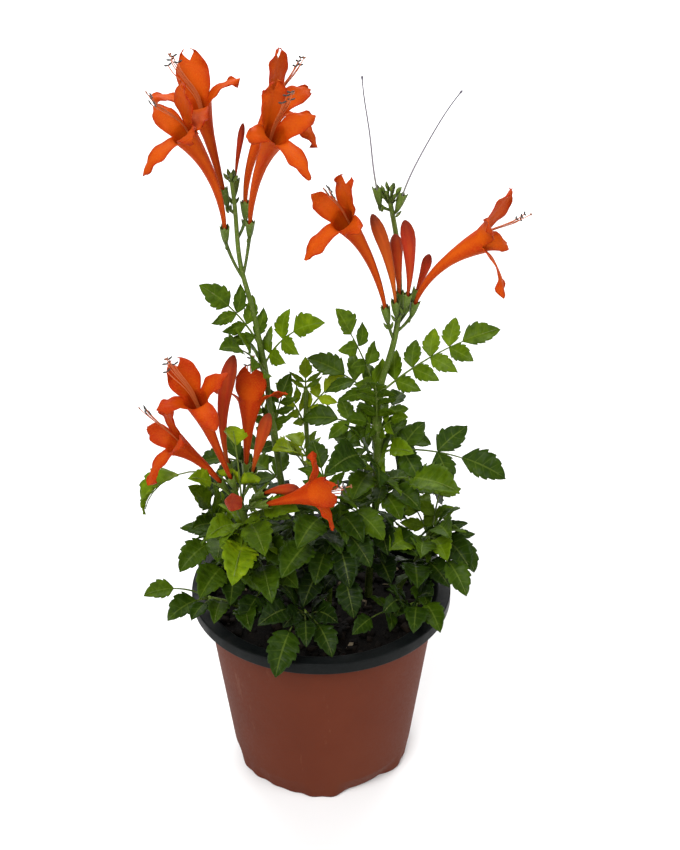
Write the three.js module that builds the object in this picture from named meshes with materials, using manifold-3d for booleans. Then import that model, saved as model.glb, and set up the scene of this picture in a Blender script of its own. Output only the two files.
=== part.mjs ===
// A trumpet vine (Cape honeysuckle) growing in a thermoformed nursery pot.
// Millimetres, +Z up. The origin is the middle of the pot's base; the plant's front faces -Y.

import * as THREE from 'three';
import { mergeVertices } from 'three/addons/utils/BufferGeometryUtils.js';
import Module from 'manifold-3d';

const wasm = await Module();
wasm.setup();

// ---- Driving dimensions -------------------------------------------------------------------

const GAP = 0.3;                    // air kept between pieces that touch
const BLADE = 0.8;                  // thickness of a leaf or a petal

const POT_HEIGHT = 102;
const RIM_RADIUS = 65;
const NECK_RADIUS = 58.4;           // outside of the wall, just under the rim
const BASE_RADIUS = 45.5;
const FOOT_RADIUS = 47.1;           // at the top of the foot, where the dents end
const FOOT_ROUND = 1.3;
const POT_WALL = 1.2;
const RIM_THICKNESS = 2.2;
const RIM_ROUND = 1;
const LIP_DROP = 6;                 // height of the lip that hangs from the rim's edge
const LIP_WALL = 1.4;
const POT_SIDES = 30;
const DENTS = 6;                    // pressed in round the foot, one drain hole above each
const DENT_DEPTH = 4;
const DENT_HEIGHT = 11;
const SHALLOW_DENT = 0.35;          // depth of every second dent, as a share of the others'
const FIRST_DENT = -58;             // degrees from +X
const DRAIN_RADIUS = 4;
const DRAIN_CIRCLE = 30;

const SOIL_LEVEL = 90;
const SOIL_FLOOR = POT_WALL + GAP;
const SOIL_FOOT = 37.5;             // radius of its foot, clear of the dents
const SOIL_INSET = 2;               // from the pot's outside, clear of its flat sides
const SOIL_SWELL = 1.6;             // height of the lumps
const SOIL_SIDES = 18;
const SOIL_RINGS = [44, 29, 13];
const ROOT_HOLE_FLOOR = 79;         // each stem stands in a hole this deep
const ROOT_HOLE_PLAY = 0.6;

const CALYX_LENGTH = 7.5;
const CALYX_RADIUS = 2.05;
const CALYX_WALL = 0.6;
const CALYX_FLOOR = 4;              // height of the cup's floor above its foot
const CALYX_FLOOR_RADIUS = 1;
const CALYX_SIDES = 5;
const PEDICEL_RADII = [0.7, 0.9];
const STEM_SIDES = 5;

// ---- The plant ----------------------------------------------------------------------------
// Each shoot is a route from its root, with radii at both ends. A leaf is
// [place along the route, tip x, y, z, droop in degrees, pairs of leaflets, leaflet length, roll]
// where place 2.5 is halfway between the route's points 2 and 3.

const SHOOTS = {
  tall_left: {
    route: [[-14, 4, 97], [-16, 3, 130], [-19, 1, 160], [-22, 0, 190], [-25.6, 0, 224],
      [-30, 0, 252], [-34.8, 0, 275], [-36.1, 0, 300], [-37.2, 0, 313]],
    radii: [1.9, 0.9],
    leaves: [
      [4.3, -52, -8, 267, 30, 3, 13, -20],
      [4.0, 2, -14, 252, 50, 2, 13, 10],
      [3.8, -42, -30, 247, 50, 2, 13, 0],
      [3.0, -14, 8, 216, 20, 3, 9, 0],
      [2.8, -32, 20, 202, 20, 3, 8, 0],
      [2.0, -36, 24, 158, 50, 1, 17, 0],
    ],
  },
  tall_right: {
    route: [[24, 6, 97], [25.5, 3, 125], [26.9, 0, 151], [27.5, 0, 178], [27, 0, 206],
      [34, 0, 236], [36, 1, 255], [35, 7, 279], [31, 0, 303]],
    radii: [2.1, 1.1],
    leaves: [
      [4.0, 7, -6, 255, 20, 3, 12, -10],
      [4.0, -6, 14, 221, 30, 2, 15, 0],
      [4.1, 83, 6, 240, 30, 4, 14, 0],
      [3.5, 25, -26, 227, 40, 3, 11, 0],
      [3.0, 88, -10, 169, 50, 2, 18, 0],
      [2.4, 64, -29, 174, 40, 0, 28, 0],
      [3.3, 40, 27, 196, 50, 2, 10, 0],
      [2.0, 57, 17, 146, 50, 2, 12, 0],
      [3.35, -9, 10, 190, 50, 2, 14, 0],
      [2.75, 6, -39, 192, 50, 1, 20, 0],
      [2.6, 15, -30, 169, 70, 1, 22, 0],
      [2.2, 38, -26, 156, 60, 1, 20, 0],
      [2.9, 43, -14, 186, 50, 1, 16, 0],
      [3.4, 12, -8, 199, 60, 2, 9, 0],
      [3.3, 41, -10, 202, 60, 2, 8, 0],
    ],
  },
  young: {
    route: [[-4, 20, 97], [-5, 18, 140], [-7, 16, 184], [-7, 16, 204]],
    radii: [1.3, 0.9],
    leaves: [
      [1.95, -20, 12, 209, 20, 3, 9, 0],
      [2.9, -7, 19, 219, 10, 2, 9, 0],
      [2.2, 12, 22, 208, 30, 2, 10, 0],
      [1.5, -16, 38, 166, 50, 2, 13, 0],
      [1.3, -20, -8, 186, 40, 1, 15, 0],
    ],
  },
  low_flowering: {
    route: [[-20, -16, 97], [-27, -21, 120], [-33, -25, 146], [-37, -28, 168]],
    radii: [1.7, 1.1],
    leaves: [
      [2.9, -80, -38, 167, 170, 0, 27, 50],
      [2.4, -24, -60, 160, 60, 1, 21, 0],
      [2.0, -38, -66, 150, 60, 1, 20, 0],
      [2.55, -9, -40, 170, 40, 1, 15, 0],
      [2.7, -37, -46, 218, 20, 1, 12, 0],
      [2.7, -56, -50, 194, 40, 0, 14, 0],
    ],
  },
  left_bush: {
    route: [[-28, 2, 97], [-36, -2, 113], [-44, -5, 128], [-50, -6, 140]],
    radii: [1.6, 1.0],
    leaves: [
      [2.85, -63, -12, 166, 30, 2, 14, 0],
      [2.3, -67, -28, 128, 70, 1, 20, 0],
      [2.0, -62, 22, 130, 60, 2, 15, 0],
      [1.4, -56, -46, 125, 60, 1, 18, 0],
      [2.5, -37, -16, 158, 40, 1, 13, 0],
    ],
  },
  left_trailing: {
    route: [[-36, -16, 96], [-46, -18, 103], [-55, -20, 107]],
    radii: [1.3, 0.9],
    leaves: [
      [2.0, -84, -34, 119, 60, 0, 15, 0],
      [2.0, -73, -36, 105, 60, 0, 18, 0],
      [1.6, -61, -42, 110, 60, 0, 13, 0],
      [1.2, -50, -42, 109, 70, 0, 17, 0],
      [0.4, -33, -54, 116, 60, 1, 14, 0],
    ],
  },
  front: {
    route: [[-2, -30, 96], [-5, -34, 106], [-8, -38, 112]],
    radii: [1.4, 1.0],
    leaves: [
      [2.0, -20, -74, 102, 80, 0, 23, 0],
      [1.6, 6, -62, 104, 80, 0, 18, 0],
      [2.0, -27, -60, 122, 60, 1, 18, 0],
      [0.6, 4, -44, 120, 30, 0, 17, 0],
      [1.8, -6, -64, 112, 70, 0, 15, 0],
    ],
  },
  centre: {
    route: [[4, -10, 97], [5, -12, 120], [6, -14, 142], [4, -14, 160]],
    radii: [1.6, 1.0],
    leaves: [
      [3.0, 2, -38, 167, 60, 1, 19, 0],
      [2.5, -10, -50, 156, 60, 1, 20, 0],
      [2.0, 14, -44, 130, 60, 1, 17, 0],
      [1.5, 16, -46, 114, 60, 1, 15, 0],
      [2.0, -17, -56, 144, 60, 1, 19, 0],
      [3.0, 30, -28, 146, 60, 1, 15, 0],
      [3.0, -4, 6, 182, 30, 2, 12, 0],
    ],
  },
  right_front: {
    route: [[36, -20, 96], [42, -22, 103], [49, -24, 108]],
    radii: [1.3, 0.9],
    leaves: [
      [2.0, 57, -45, 105, 70, 0, 18, 0],
      [1.7, 44, -50, 109, 70, 0, 18, 0],
      [1.1, 30, -50, 121, 60, 2, 10, 0],
      [0.5, 15, -48, 106, 60, 1, 11, 0],
    ],
  },
  right_bush: {
    route: [[40, 4, 97], [45, 4, 107], [51, 6, 119], [56, 8, 130]],
    radii: [1.6, 1.0],
    leaves: [
      [3.0, 77, -3, 110, 60, 2, 14, 0],
      [2.2, 71, -24, 111, 70, 0, 20, 0],
      [2.3, 67, 30, 112, 60, 2, 11, 0],
      [1.2, 46, -36, 124, 60, 1, 18, 0],
      [2.5, 38, 32, 142, 50, 2, 12, 0],
      [2.85, 66, 38, 150, 60, 2, 11, 0],
      [2.5, 61, -22, 130, 60, 1, 18, 0],
      [1.7, 33, -28, 141, 60, 1, 17, 0],
      [2.8, 73, -14, 120, 60, 0, 22, 0],
    ],
  },
  back_left: {
    route: [[-18, 30, 97], [-26, 32, 116], [-34, 32, 138], [-38, 30, 154]],
    radii: [1.6, 1.0],
    leaves: [
      [3.0, -62, 36, 150, 60, 1, 18, 0],
      [2.1, -66, 50, 116, 60, 1, 19, 0],
      [1.6, -24, 72, 114, 60, 1, 19, 0],
      [2.5, -24, 52, 170, 40, 2, 12, 0],
    ],
  },
  back_right: {
    route: [[18, 32, 97], [22, 34, 118], [28, 34, 144], [32, 32, 162]],
    radii: [1.6, 1.0],
    leaves: [
      [3.0, 56, 42, 158, 60, 1, 18, 0],
      [2.1, 66, 52, 116, 60, 1, 19, 0],
      [1.6, 16, 74, 114, 60, 1, 19, 0],
      [2.5, 6, 46, 160, 50, 2, 12, 0],
    ],
  },
};

// Each flower grows on a shoot. foot is the calyx's lower end, aim a point it leans towards,
// mouth the middle of the open throat or the tip of a bud, lobes how long an open flower's
// lobes are, roll how far it is turned on its midline, and girth a bud's thickness.
const FLOWERS = {
  bloom_left_front: {
    on: 'tall_left', at: 5.6, foot: [-40.5, -3, 285], aim: [-40.5, -4, 291.5], mouth: [-54.5, -20, 338.5],
    lobes: 1.12,
  },
  bloom_left_top: {
    on: 'tall_left', at: 6.85, foot: [-39.5, 2, 300], aim: [-41, 3, 306.5], mouth: [-49.5, 2, 344.5],
    lobes: 1.2,
  },
  bloom_left_side: {
    on: 'tall_left', at: 5.7, foot: [-30, -3, 287.5], aim: [-29.5, -4, 295], mouth: [-16.5, -20, 338],
    lobes: 1.15,
  },
  bloom_left_rear: {
    on: 'tall_left', at: 6.4, foot: [-32, 4, 293], aim: [-32, 5, 299], mouth: [-16.5, 4, 343.5],
    lobes: 1.2,
  },
  bloom_right_side: {
    on: 'tall_right', at: 5.2, foot: [41.5, -2, 249.5], aim: [43, -3, 256.5], mouth: [70.5, -8, 287.5],
    lobes: 1.35, roll: -45,
  },
  bloom_right_star: {
    on: 'tall_right', at: 5.0, foot: [31, -4, 247], aim: [29.5, -3.5, 255], mouth: [10.3, -18.5, 301],
    lobes: 1.08, roll: -32,
  },
  bloom_low_top: {
    on: 'low_flowering', at: 2.9, foot: [-38.5, -32, 177.5], aim: [-40.5, -34, 185], mouth: [-52, -48, 231],
    lobes: 1,
  },
  bloom_low_left: {
    on: 'low_flowering', at: 2.65, foot: [-42, -29, 173.5], aim: [-45, -30, 179], mouth: [-64, -38, 204],
    lobes: 1,
  },
  bloom_low_right: {
    on: 'low_flowering', at: 2.75, foot: [-29, -37, 170.5], aim: [-24, -39, 173], mouth: [-3.5, -44.5, 182],
    lobes: 1.1,
  },
  bloom_low_rear: {
    on: 'low_flowering', at: 2.8, foot: [-34.5, -20, 176], aim: [-34, -19.5, 183], mouth: [-32, -9, 209],
    lobes: 1,
  },
};

const BUDS = {
  bud_left_dark: {
    on: 'tall_left', at: 7.0, foot: [-37, 8, 302], aim: [-36.5, 9, 307], mouth: [-32, 11, 334], girth: 0.45,
  },
  bud_right_orange: {
    on: 'tall_right', at: 5.5, foot: [34.5, -5, 251], aim: [34, -6, 258], mouth: [23, -8, 300], girth: 0.9,
  },
  bud_right_red: {
    on: 'tall_right', at: 5.6, foot: [38.5, -6, 255], aim: [39.4, -7, 262], mouth: [37, -10, 298], girth: 1,
  },
  bud_right_rear: {
    on: 'tall_right', at: 5.7, foot: [36.5, -1, 253], aim: [36, -1, 259.5], mouth: [33.5, 0, 288], girth: 0.9,
  },
  bud_right_small: {
    on: 'tall_right', at: 5.4, foot: [41.5, 5, 252], aim: [43.5, 6, 257], mouth: [49.5, 9, 275], girth: 0.7,
  },
  bud_low_tall: {
    on: 'low_flowering', at: 2.95, foot: [-40.5, -25, 179], aim: [-42, -24.5, 186], mouth: [-37.5, -18, 238],
    girth: 1.1,
  },
  bud_low_upright: {
    on: 'low_flowering', at: 2.98, foot: [-31.5, -28, 178], aim: [-30.5, -29, 183.5], mouth: [-22, -28, 214],
    girth: 0.9,
  },
  bud_low_curved: {
    on: 'low_flowering', at: 2.55, foot: [-30, -27, 169], aim: [-25.3, -29.4, 173], mouth: [-9, -38, 180],
    girth: 0.85,
  },
  bud_low_front: {
    on: 'low_flowering', at: 2.85, foot: [-35.5, -35, 171], aim: [-36, -40, 174], mouth: [-37, -62, 189],
    girth: 1.2,
  },
};

// Two flowers have dropped and left their threads standing in the calyx.
const THREADS = {
  thread_left: {
    on: 'tall_right', at: 7.8, foot: [26.5, -1, 301.5], aim: [25.5, -1, 307.5], mouth: [18.5, -4, 358],
  },
  thread_right: {
    on: 'tall_right', at: 7.7, foot: [34, -1, 299], aim: [36, -1, 305], mouth: [59.5, -8, 353],
  },
};

const TOP_BUDS = {
  tall_left: { centre: [-37.2, 0, 313], spread: 1.8, count: 3, radius: 1.3 },
  tall_right: { centre: [31, 0, 305], spread: 3.2, count: 5, radius: 2.5 },
};

// ---- Solids -------------------------------------------------------------------------------

const vector = ([x, y, z]) => new THREE.Vector3(x, y, z);
const UP = new THREE.Vector3(0, 0, 1);

// Repeatable numbers in [0, 1)
function seeded(seed) {
  let state = seed;
  return () => {
    state = (Math.imul(state, 1664525) + 1013904223) >>> 0;
    return state / 2 ** 32;
  };
}

function solidOf(geometry) {
  geometry.deleteAttribute('normal');
  geometry.deleteAttribute('uv');
  const merged = mergeVertices(geometry, 1e-4);
  return new wasm.Manifold(new wasm.Mesh({
    numProp: 3,
    vertProperties: new Float32Array(merged.attributes.position.array),
    triVerts: new Uint32Array(merged.index.array),
  }));
}

function geometryOf(solid) {
  const mesh = solid.getMesh();
  const geometry = new THREE.BufferGeometry();
  geometry.setAttribute('position', new THREE.BufferAttribute(mesh.vertProperties, 3));
  geometry.setIndex(new THREE.BufferAttribute(mesh.triVerts, 1));
  return geometry.toNonIndexed();
}

function indexed(points, triangles) {
  const geometry = new THREE.BufferGeometry().setFromPoints(points);
  geometry.setIndex(triangles.flat());
  return geometry;
}

const joined = (solids) => solids.reduce((whole, solid) => whole.add(solid));

// Triangles of a skin over rings of points, each ring anticlockwise seen from the end that it
// grows to. first is the number of the first ring's first point. A ring may be a single point.
function skin(rings, first = 0) {
  const triangles = [];
  let start = first;
  for (let i = 0; i + 1 < rings.length; i++) {
    const [low, high] = [rings[i].length, rings[i + 1].length];
    const count = Math.max(low, high);
    const next = start + low;
    for (let j = 0; j < count; j++) {
      const after = (j + 1) % count;
      const [a, b] = low > 1 ? [start + j, start + after] : [start, start];
      const [d, c] = high > 1 ? [next + j, next + after] : [next, next];
      if (low > 1) triangles.push([a, b, c]);
      if (high > 1) triangles.push([a, c, d]);
    }
    start = next;
  }
  return triangles;
}

const fan = (count, first, flip) => Array.from({ length: Math.max(0, count - 2) }, (_, k) => (
  flip ? [first, first + k + 2, first + k + 1] : [first, first + k + 1, first + k + 2]));

// A closed solid over rings of points
function loft(rings) {
  const points = rings.flat();
  const top = rings.at(-1).length;
  return solidOf(indexed(points, [
    ...skin(rings),
    ...fan(rings[0].length, 0, true),
    ...fan(top, points.length - top, false),
  ]));
}

function ring(centre, across, over, radius, sides) {
  return Array.from({ length: sides }, (_, j) => {
    const turn = (2 * Math.PI * j) / sides;
    return centre.clone()
      .addScaledVector(across, radius * Math.cos(turn))
      .addScaledVector(over, radius * Math.sin(turn));
  });
}

// A tapering tube along a curve, for stems
function taper(curve, radii, sides, steps) {
  const frames = curve.computeFrenetFrames(steps, false);
  const rings = [];
  for (let i = 0; i <= steps; i++) {
    const radius = THREE.MathUtils.lerp(radii[0], radii[1], i / steps);
    rings.push(ring(curve.getPointAt(i / steps), frames.normals[i], frames.binormals[i], radius, sides));
  }
  return loft(rings);
}

// ---- Leaves -------------------------------------------------------------------------------

const STALK_WIDTH = 1.7;
const LEAFLET_SPREAD = (56 * Math.PI) / 180;   // angle between a leaflet and the rib
const LEAFLET_BREADTH = 0.62;                  // width over length
const END_LEAFLET = 1.3;                       // the end leaflet's length over a side one's
const STALK_SHARE = 0.16;                      // of the rib, bare before the first pair
const LEAFLET_NECK = 0.7;                      // half a side leaflet's width on the rib
const FACING = 0.65;                           // share of the turn on its rib that would face the light
const LIGHT = new THREE.Vector3(0, -0.8, 0.6);

// Half outlines as [share of the length, share of the width], with forward-pointing teeth
const OUTLINES = [
  { over: 21, half: [[0.2, 0.42], [0.56, 0.48], [0.6, 0.36]] },
  { over: 13, half: [[0.26, 0.46], [0.64, 0.36]] },
  { over: 0, half: [[0.42, 0.5]] },
];
const halfOutline = (length) => OUTLINES.find(({ over }) => length > over).half;

// The leaf's rib is an arc that starts steep and droops towards its tip.
function makeLeaf(base, [, x, y, z, droopDegrees, pairs, leaflet, rollDegrees], index) {
  const random = seeded(index * 7919 + 17);
  const chord = new THREE.Vector3(x, y, z).sub(base);
  const droop = (droopDegrees * Math.PI) / 180;
  const flat = Math.hypot(chord.x, chord.y);
  const leaf = {
    base,
    droop,
    heading: new THREE.Vector3(chord.x / flat, chord.y / flat, 0),
    rise: Math.atan2(chord.z, flat) + droop / 2,
    length: (chord.length() * droop) / 2 / Math.sin(droop / 2),
    roll: 0,
    pairs,
    leaflet,
  };
  const { side, normal } = leafFrame(leaf, leaf.length / 2);
  const facing = Math.atan2(-side.dot(LIGHT), Math.max(0.2, normal.dot(LIGHT)));
  leaf.roll = (rollDegrees * Math.PI) / 180 + FACING * facing + 0.3 * (random() - 0.5);
  leaf.wave = 0.5 + random();
  return leaf;
}

function leafFrame(leaf, s) {
  const { base, heading, rise, droop, length, roll } = leaf;
  const angle = rise - (droop * s) / length;
  const reach = (length / droop) * (Math.sin(rise) - Math.sin(angle));
  const climb = (length / droop) * (Math.cos(angle) - Math.cos(rise));
  const along = heading.clone().multiplyScalar(Math.cos(angle)).addScaledVector(UP, Math.sin(angle));
  const side = UP.clone().cross(heading);
  const normal = along.clone().cross(side);
  return {
    point: base.clone().addScaledVector(heading, reach).addScaledVector(UP, climb),
    side: side.clone().multiplyScalar(Math.cos(roll)).addScaledVector(normal, Math.sin(roll)),
    normal: normal.clone().multiplyScalar(Math.cos(roll)).addScaledVector(side, -Math.sin(roll)),
  };
}

// A point of the leaf, s along the rib and t to its left; the sides lift and then hang.
function leafPoint(leaf, s, t) {
  const { point, side, normal } = leafFrame(leaf, s);
  const share = Math.abs(t) / leaf.leaflet;
  const lift = leaf.leaflet * (0.32 * share - 0.34 * share ** 2
    + 0.05 * share * Math.sin(leaf.wave * s));
  return point.addScaledVector(side, t).addScaledVector(normal, lift);
}

// The leaf laid flat: its points as [s, t], the triangles between them, and its edge as point
// numbers anticlockwise seen from above. Leaflets are cut in to the rib.
function leafPlan({ length, pairs, leaflet }) {
  const end = pairs ? Math.min(leaflet * END_LEAFLET, length * 0.6) : Math.min(leaflet, length * 0.9);
  const endAt = length - end;
  const step = pairs ? (endAt * (1 - STALK_SHARE)) / pairs : 0;
  const stalk = (s) => STALK_WIDTH * (0.5 - 0.18 * (s / length) ** 2);
  const breadth = Math.min(leaflet * LEAFLET_BREADTH, step ? step * Math.sin(LEAFLET_SPREAD) : leaflet);
  const [forward, outward] = [Math.cos(LEAFLET_SPREAD), Math.sin(LEAFLET_SPREAD)];

  const spots = [];
  const triangles = [];
  const put = ([s, t]) => spots.push([s, t]) - 1;
  const fill = (ids) => {
    const corners = ids.map((id) => new THREE.Vector2(...spots[id]));
    const faces = THREE.ShapeUtils.triangulateShape(corners, []);
    triangles.push(...faces.map((face) => face.map((k) => ids[k])));
  };

  // The rib as rungs of [right, left] points: one at each end and two at each pair of leaflets
  const places = Array.from({ length: pairs }, (_, k) => endAt - (pairs - k - 0.3) * step);
  const rungs = [0, ...places.flatMap((at) => [at - LEAFLET_NECK, at + LEAFLET_NECK]), endAt]
    .map((s) => [-1, 1].map((sign) => put([s, sign * stalk(s)])));
  rungs.slice(1).forEach(([right, left], i) => fill([rungs[i][0], right, left, rungs[i][1]]));

  // A leaflet's own points, from its edge nearer the leaf's base round to its other edge
  const leafletSpots = (at, sign, size, width, [along, across]) => {
    const place = (u, v) => put([
      at + u * along - v * across,
      sign * (stalk(at) * across + u * across + v * along),
    ]);
    const half = halfOutline(size);
    return [
      ...half.map(([u, v]) => place(u * size, v * width)),
      place(size, 0),
      ...half.map(([u, v]) => place(u * size, -v * width)).reverse(),
    ];
  };
  const edge = { right: [rungs[0][0]], left: [rungs[0][1]] };
  places.forEach((at, k) => {
    const [near, far] = [rungs[2 * k + 1], rungs[2 * k + 2]];
    const right = [near[0], ...leafletSpots(at, -1, leaflet, breadth, [forward, outward]), far[0]];
    const left = [near[1], ...leafletSpots(at, 1, leaflet, breadth, [forward, outward]), far[1]];
    fill(right);
    fill(left.toReversed());
    edge.right.push(...right);
    edge.left.push(...left);
  });
  const [endRight, endLeft] = rungs.at(-1);
  const last = [endRight, ...leafletSpots(endAt, -1, end, end * LEAFLET_BREADTH, [1, 0]), endLeft];
  fill(last);
  return { spots, triangles, edge: [...edge.right, ...last, ...edge.left.toReversed()] };
}

function leafSolid(leaf) {
  const { spots, triangles, edge } = leafPlan(leaf);
  const points = spots.map(([s, t]) => leafPoint(leaf, s, t));
  const under = points.map((point, i) => (
    point.clone().addScaledVector(leafFrame(leaf, spots[i][0]).normal, -BLADE)));
  const n = points.length;
  const lower = triangles.map(([a, b, c]) => [a + n, c + n, b + n]);
  const wall = edge.flatMap((a, k) => {
    const b = edge[(k + 1) % edge.length];
    return [[a, a + n, b + n], [a, b + n, b]];
  });
  return solidOf(indexed([...points, ...under], [...triangles, ...lower, ...wall]));
}

// ---- Flowers ------------------------------------------------------------------------------

const TUBE_SIDES = 8;
const TUBE_WALL = 1.2;

// [share of the length, radius] along an open flower's tube and along a bud
const TUBE = [[0, 0.55], [0.25, 1.2], [0.65, 2.4], [1, 5.4]];
const BUD = [[0, 0.55], [0.25, 1.2], [0.76, 3.2], [0.94, 2.3]];
const THROAT_FLOOR = 0.6;           // share of the tube that is closed below the throat

// The mouth's four lobes take a quarter of it each, the notched upper lip first, then round
// from the flower's back: length, greatest half width, how far it leans from the tube's line
// where it leaves it, and how far it curls back from there, both in degrees.
const LOBES = [
  { length: 18, width: 7, lean: 16, curl: 26, notch: 0.25 },
  { length: 14, width: 4.6, lean: 30, curl: 70, notch: 0 },
  { length: 17, width: 4.4, lean: 65, curl: 50, notch: 0 },
  { length: 14, width: 4.6, lean: 30, curl: 70, notch: 0 },
];
const LOBE_ROWS = [0.33, 0.72, 1];
const LOBE_WIDEST = 0.45;
const LOBE_ROUNDING = 0.62;
const FILAMENT = 0.45;
const ANTHER = 1.2;
const STRAND_RAISE = 2.6;           // above the middle of the mouth
const STRAND_REACH = [19, 8];       // out of the mouth, and up from its middle
const MIDLINE_BEND = 0.55;          // of the way to the mouth, where the midline's bend pulls

const radians = THREE.MathUtils.degToRad;

// A flower's midline runs from its calyx to its mouth in one plane.
function midline({ foot, aim, mouth, roll = 0 }) {
  const start = vector(foot);
  const first = vector(aim).sub(start).normalize();
  const end = vector(mouth);
  const reach = end.distanceTo(start);
  const from = start.clone().addScaledVector(first, CALYX_FLOOR + 1.5 * GAP);
  const bend = start.clone().addScaledVector(first, reach * MIDLINE_BEND);
  return {
    curve: new THREE.QuadraticBezierCurve3(from, bend, end),
    plane: end.clone().sub(start).cross(first).normalize(),
    roll: radians(roll),
  };
}

function flowerFrame({ curve, plane, roll }, share) {
  const along = curve.getTangent(share);
  const across = plane.clone().applyAxisAngle(along, roll);
  return { point: curve.getPoint(share), along, across, back: across.clone().cross(along) };
}

function tubeRing(line, share, radius, sides = TUBE_SIDES) {
  const { point, across, back } = flowerFrame(line, share);
  return ring(point, back, across, radius, sides);
}

function lobeHalfWidth(lobe, share) {
  const root = TUBE.at(-1)[1] * Math.SQRT1_2;
  if (share > LOBE_WIDEST) {
    return lobe.width * Math.sqrt(1 - ((share - LOBE_WIDEST) / LOBE_ROUNDING) ** 2);
  }
  return THREE.MathUtils.lerp(root, lobe.width, Math.sin((share / LOBE_WIDEST) * (Math.PI / 2)));
}

// A point of a lobe, share of the way out and v across it from -1 to 1, with the way it faces.
// A lobe widens out of the throat's ring and curls back along an arc.
function lobePoint({ point, along, across, back }, lobe, quarter, share, v) {
  const around = (turned) => (
    back.clone().multiplyScalar(Math.cos(turned)).addScaledVector(across, Math.sin(turned)));
  const angle = (quarter * Math.PI) / 2;
  const out = around(angle);
  const curl = radians(lobe.curl);
  const lean = radians(lobe.lean);
  const turn = lean + curl * share;
  const bow = lobe.length / curl;
  const spread = v * (lobeHalfWidth(lobe, share) - lobeHalfWidth(lobe, 0));
  return {
    place: point.clone()
      .addScaledVector(around(angle + (v * Math.PI) / 4), TUBE.at(-1)[1] - TUBE_WALL)
      .addScaledVector(along, bow * (Math.sin(turn) - Math.sin(lean)))
      .addScaledVector(out, bow * (Math.cos(lean) - Math.cos(turn)))
      .addScaledVector(around(angle + Math.PI / 2), spread),
    facing: along.clone().multiplyScalar(Math.sin(turn)).addScaledVector(out, -Math.cos(turn)),
  };
}

// Triangles of a plate between two alike grids of point numbers, left open along the first row
function plate(front, under) {
  const rows = front.length - 1;
  const columns = front[0].length - 1;
  const triangles = [];
  const wall = (i, j, k, l) => triangles.push(
    [front[i][j], under[i][j], under[k][l]], [front[i][j], under[k][l], front[k][l]]);
  for (let i = 0; i < rows; i++) {
    for (let j = 0; j < columns; j++) {
      const corners = (grid) => [grid[i][j], grid[i + 1][j], grid[i + 1][j + 1], grid[i][j + 1]];
      const [a, b, c, d] = corners(front);
      const [e, f, g, h] = corners(under);
      triangles.push([a, b, c], [a, c, d], [e, g, f], [e, h, g]);
    }
    wall(i, 0, i + 1, 0);
    wall(i + 1, columns, i, columns);
  }
  for (let j = 0; j < columns; j++) wall(rows, j, rows, j + 1);
  return triangles;
}

// The stamens and the style reach out under the upper lip as one strand, ending in an anther.
function strandSolid(line) {
  const inside = line.curve.getPoint(THROAT_FLOOR - 0.05);
  const { point, along, across, back } = flowerFrame(line, 1);
  const [out, up] = STRAND_REACH;
  const lip = point.clone().addScaledVector(back, STRAND_RAISE);
  const end = point.clone().addScaledVector(along, out).addScaledVector(back, up);
  const curve = new THREE.CatmullRomCurve3([inside, lip, end]);
  const level = (share, radius) => ring(curve.getPoint(share), back, across, radius, 3);
  const filament = [0, 0.5, 0.92].map((share) => level(share, FILAMENT));
  return loft([...filament, level(0.96, ANTHER), [end]]);
}

function bloomSolid(flower) {
  const line = midline(flower);
  const mouth = flowerFrame(line, 1);
  const outside = TUBE.map(([share, radius]) => tubeRing(line, share, radius));
  const inside = [
    tubeRing(line, 1, TUBE.at(-1)[1] - TUBE_WALL),
    [line.curve.getPoint(THROAT_FLOOR)],
  ];
  const points = [...outside.flat(), ...inside.flat()];
  const innerMouth = outside.length * TUBE_SIDES;
  const outerMouth = innerMouth - TUBE_SIDES;
  const triangles = [...skin(outside), ...skin(inside, innerMouth), ...fan(TUBE_SIDES, 0, true)];

  LOBES.forEach((plain, quarter) => {
    const lobe = { ...plain, length: plain.length * flower.lobes };
    const sides = [-1, 0, 1];
    const rim = sides.map((v) => (2 * quarter + v + TUBE_SIDES) % TUBE_SIDES);
    const front = [rim.map((k) => innerMouth + k)];
    const under = [rim.map((k) => outerMouth + k)];
    for (const row of LOBE_ROWS) {
      const notched = row === 1 ? 1 - lobe.notch : row;
      const spots = sides.map((v) => lobePoint(mouth, lobe, quarter, v ? row : notched, v));
      front.push(spots.map(({ place }) => points.push(place) - 1));
      under.push(spots.map(({ place, facing }) => (
        points.push(place.clone().addScaledVector(facing, -BLADE)) - 1)));
    }
    triangles.push(...plate(front, under));
  });
  return solidOf(indexed(points, triangles)).add(strandSolid(line));
}

function budSolid(flower) {
  const line = midline(flower);
  return loft([
    ...BUD.map(([share, radius]) => tubeRing(line, share, radius * flower.girth, 6)),
    [line.curve.getPoint(1)],
  ]);
}

// A thread is the style left when a flower drops: it ends in a small flat tip.
function threadSolid(flower) {
  const line = midline(flower);
  return loft([
    tubeRing(line, 0, 0.5, 5),
    ...[0.25, 0.5, 0.75, 0.965].map((share) => tubeRing(line, share, 0.4, 5)),
    tubeRing(line, 0.98, 0.9, 5),
    tubeRing(line, 1, 0.5, 5),
  ]);
}

// The calyx is a green cup on a stalk from the shoot.
function calyxSolid(curve, place, { foot, aim }) {
  const start = vector(foot);
  const first = vector(aim).sub(start).normalize();
  const root = curve.getPoint(place);
  const leaving = start.clone().sub(root)
    .addScaledVector(first, -start.distanceTo(root) / 2)
    .normalize();
  const across = first.clone().cross(start.clone().sub(root)).normalize();
  const round = (centre, along, radius) => (
    ring(centre, across, along.clone().cross(across), radius, CALYX_SIDES));
  const level = (height, radius) => (
    round(start.clone().addScaledVector(first, height), first, radius));
  return loft([
    round(root, leaving, PEDICEL_RADII[0]),
    level(0, PEDICEL_RADII[1]),
    level(CALYX_LENGTH, CALYX_RADIUS),
    level(CALYX_LENGTH, CALYX_RADIUS - CALYX_WALL),
    level(CALYX_FLOOR, CALYX_FLOOR_RADIUS),
  ]);
}

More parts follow.
